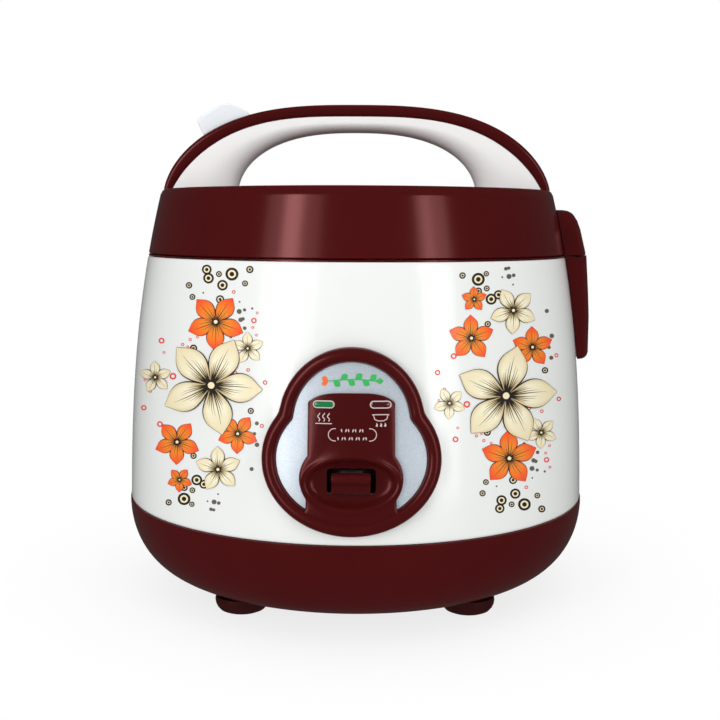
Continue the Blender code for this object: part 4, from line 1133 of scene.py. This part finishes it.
def make_hinge_cover():
    levels = [(168.0, 2.2), (176.6, 2.6), (182.0, 3.9), (188.5, 5.5), (193.0, 7.2), (196.3, 9.4)]
    levels += [(197.4, 10.8), (198.1, 12.4), (198.5, 15.0)]
    names = {"replaced": ("hinge_cover",), "slot": "burgundy_plastic"}
    cover = stacked("hinge_cover_skin", 22.0, levels, BURGUNDY, "lid", **names)
    axis_x, axis_z = HINGE_AXIS
    under = cutter_block((90.0, -40.0, 160.0), (140.0, 40.0, 175.5))
    barrel = arc(HINGE_AXIS, 5.4, 30.0, 180.0, 12) + [(axis_x - 14.0, axis_z), (axis_x - 14.0, 160.0)]
    barrel += [(130.0, 160.0), (130.0, axis_z + 1.5)]
    bore = cutter_bar((axis_x, -19.6, axis_z), (axis_x, 19.6, axis_z), 1.9)
    cut(cover, under)
    cut(cover, body_cutter(165.0, 212.0, -0.4))
    cut(cover, prism("cutter", barrel, None, None, "y", -8.4, 8.4))
    cut(cover, bore)


def cover_way():
    """The room the hinge cover's lower edge sweeps through, as (y, radius about the hinge axis)."""
    half = ((0.0, 9.4), (10.0, 8.8), (15.0, 8.05), (18.0, 7.5), (19.6, 7.25), (22.0, 6.4), (30.0, 6.4))
    stations = [(-y, radius) for y, radius in reversed(half[1:])] + list(half)
    points, sides = [], 64
    for y, radius in stations:
        points += [(x, y, z) for x, z in arc(HINGE_AXIS, radius, 0.0, 360.0, sides)[:-1]]
    return piece("cutter", points, capped_faces(len(stations), sides), None, None)


def make_dew_cup():
    low = low_of("dew_collector").z
    foot = [(low, 2.6), (low + 0.6, 1.2), (low + 1.6, 0.4), (low + 3.0, 0.0)]
    wall = [(143.0, 0.0), (155.0, 0.6), (165.0, 1.3)]
    names = {"replaced": ("dew_collector",), "slot": "burgundy_plastic"}
    cup = stacked("dew_cup_skin", 21.5, foot + wall + [(176.0, 2.1)], BURGUNDY, "dew_cup", **names)
    above = cutter_block((90.0, -40.0, 175.0), (140.0, 40.0, 190.0))
    inside = [(height, inset + 1.8) for height, inset in wall]
    hollow = stacked("cutter", 19.6, [(low + 2.2, 2.6)] + inside + [(168.6, 3.4)], None, None)
    cut(hollow, body_cutter(110.0, 182.0, -2.1))
    cut(cup, above, body_cutter(110.0, 182.0, -0.5), hollow)
    cut(cup, cover_way())


def make_feet():
    for name in ("front_left", "front_right", "rear_left", "rear_right"):
        node = f"foot_{name}"
        middle, high = middle_of(node), high_of(node)
        radius = high.x - middle.x
        pad = [(0.0, 0.4), (radius - 5.6, 0.4), (radius - 5.2, 0.0), (radius - 4.2, 0.0)]
        dome = [(radius - 2.4, 0.8), (radius - 1.0, 2.4), (radius - 0.3, 4.0), (radius, 5.8)]
        loop = pad + dome + [(radius - 0.3, high.z), (0.0, high.z)]
        names = {"replaced": (node,), "slot": "foot_rubber"}
        turned(f"{node}_skin", loop, RUBBER, "housing", (middle.x, middle.y), 64, **names)


def make_vent_cap():
    low, top, middle = low_of("steam_vent_cap").z, high_of("steam_vent_cap").z, middle_of("steam_vent_cap")
    loop = [(0.0, top - 0.5), (5.0, top - 0.5), (6.0, top), (11.6, top), (12.8, top - 0.4), (13.4, top - 1.2)]
    loop += [(13.6, top - 2.2), (13.6, low), (12.8, low), (12.8, top - 1.7), (0.0, top - 1.7)]
    names = {"replaced": ("steam_vent_cap",), "slot": "burgundy_plastic"}
    cap = turned("vent_cap_skin", loop, BURGUNDY, "vent_cap", (middle.x, middle.y), 96, **names)
    slits = []
    for across in (-6.0, -3.0, 0.0, 3.0, 6.0):
        x, half = middle.x + across, math.sqrt(10.2**2 - across**2)
        near, far = (x - 0.6, middle.y - half, top - 3.0), (x + 0.6, middle.y + half, top + 2.0)
        slits.append(cutter_block(near, far))
    cut(cap, *slits)


# ---------------------------------------------------------------- lever knob


def make_knob():
    low, high = low_of("cook_lever_knob"), high_of("cook_lever_knob")
    front, back = low.y, high.y
    profile = [(back, low.z), (front + 4.3, low.z), (front + 4.3, low.z + 4.4), (front + 1.5, low.z + 5.0)]
    profile += [(front + 0.4, low.z + 5.6), (front, low.z + 6.6), (front, high.z - 1.6)]
    profile += [(front + 0.7, high.z - 0.5), (front + 2.0, high.z), (back, high.z)]
    names = {"replaced": ("cook_lever_knob",), "slot": "burgundy_plastic"}
    knob = prism("knob_skin", profile, BURGUNDY_PANEL, "lever", "x", low.x, high.x, **names)
    bevel(knob, 0.9, 4, 35.0)


# ---------------------------------------------------------------- materials of the frame's own nodes

FINISHES = {
    "burgundy_plastic": BURGUNDY,
    "white_enamel": ENAMEL,
    "white_plastic": WHITE,
    "pale_button": BUTTON,
    "silver_blue": FASCIA,
    "green_lens": GREEN_LENS,
    "dark_lens": DARK_LENS,
    "black_plastic": BLACK,
    "brushed_aluminium": ALUMINIUM,
    "galvanised_steel": STEEL,
    "bright_steel": BRIGHT,
    "non_stick": NON_STICK,
    "brass": BRASS,
    "clear_silicone": SILICONE,
    "foot_rubber": RUBBER,
    "circuit_green": CIRCUIT,
    "wire_brown": WIRE_BROWN,
    "wire_blue": WIRE_BLUE,
    "heater_band": BAND,
    "fuse_sleeve": SLEEVE,
}


def finish_nodes():
    slots = {row["node"]: row["material_slot"] for row in frame["record"]["subparts"]}
    for name, node in CAD.items():
        material = FINISHES[slots[name]]
        if not node.data.materials:
            node.data.materials.append(material)
        for place in node.material_slots:
            place.material = material


make_studio()
finish_nodes()
make_base()
make_shell()
make_lid_skins()
make_inside_skins()
make_handle()
make_button()
make_panel()
make_lamps_and_icons()
make_flowers()
make_knob()
make_hinge_cover()
make_dew_cup()
make_feet()
make_vent_cap()
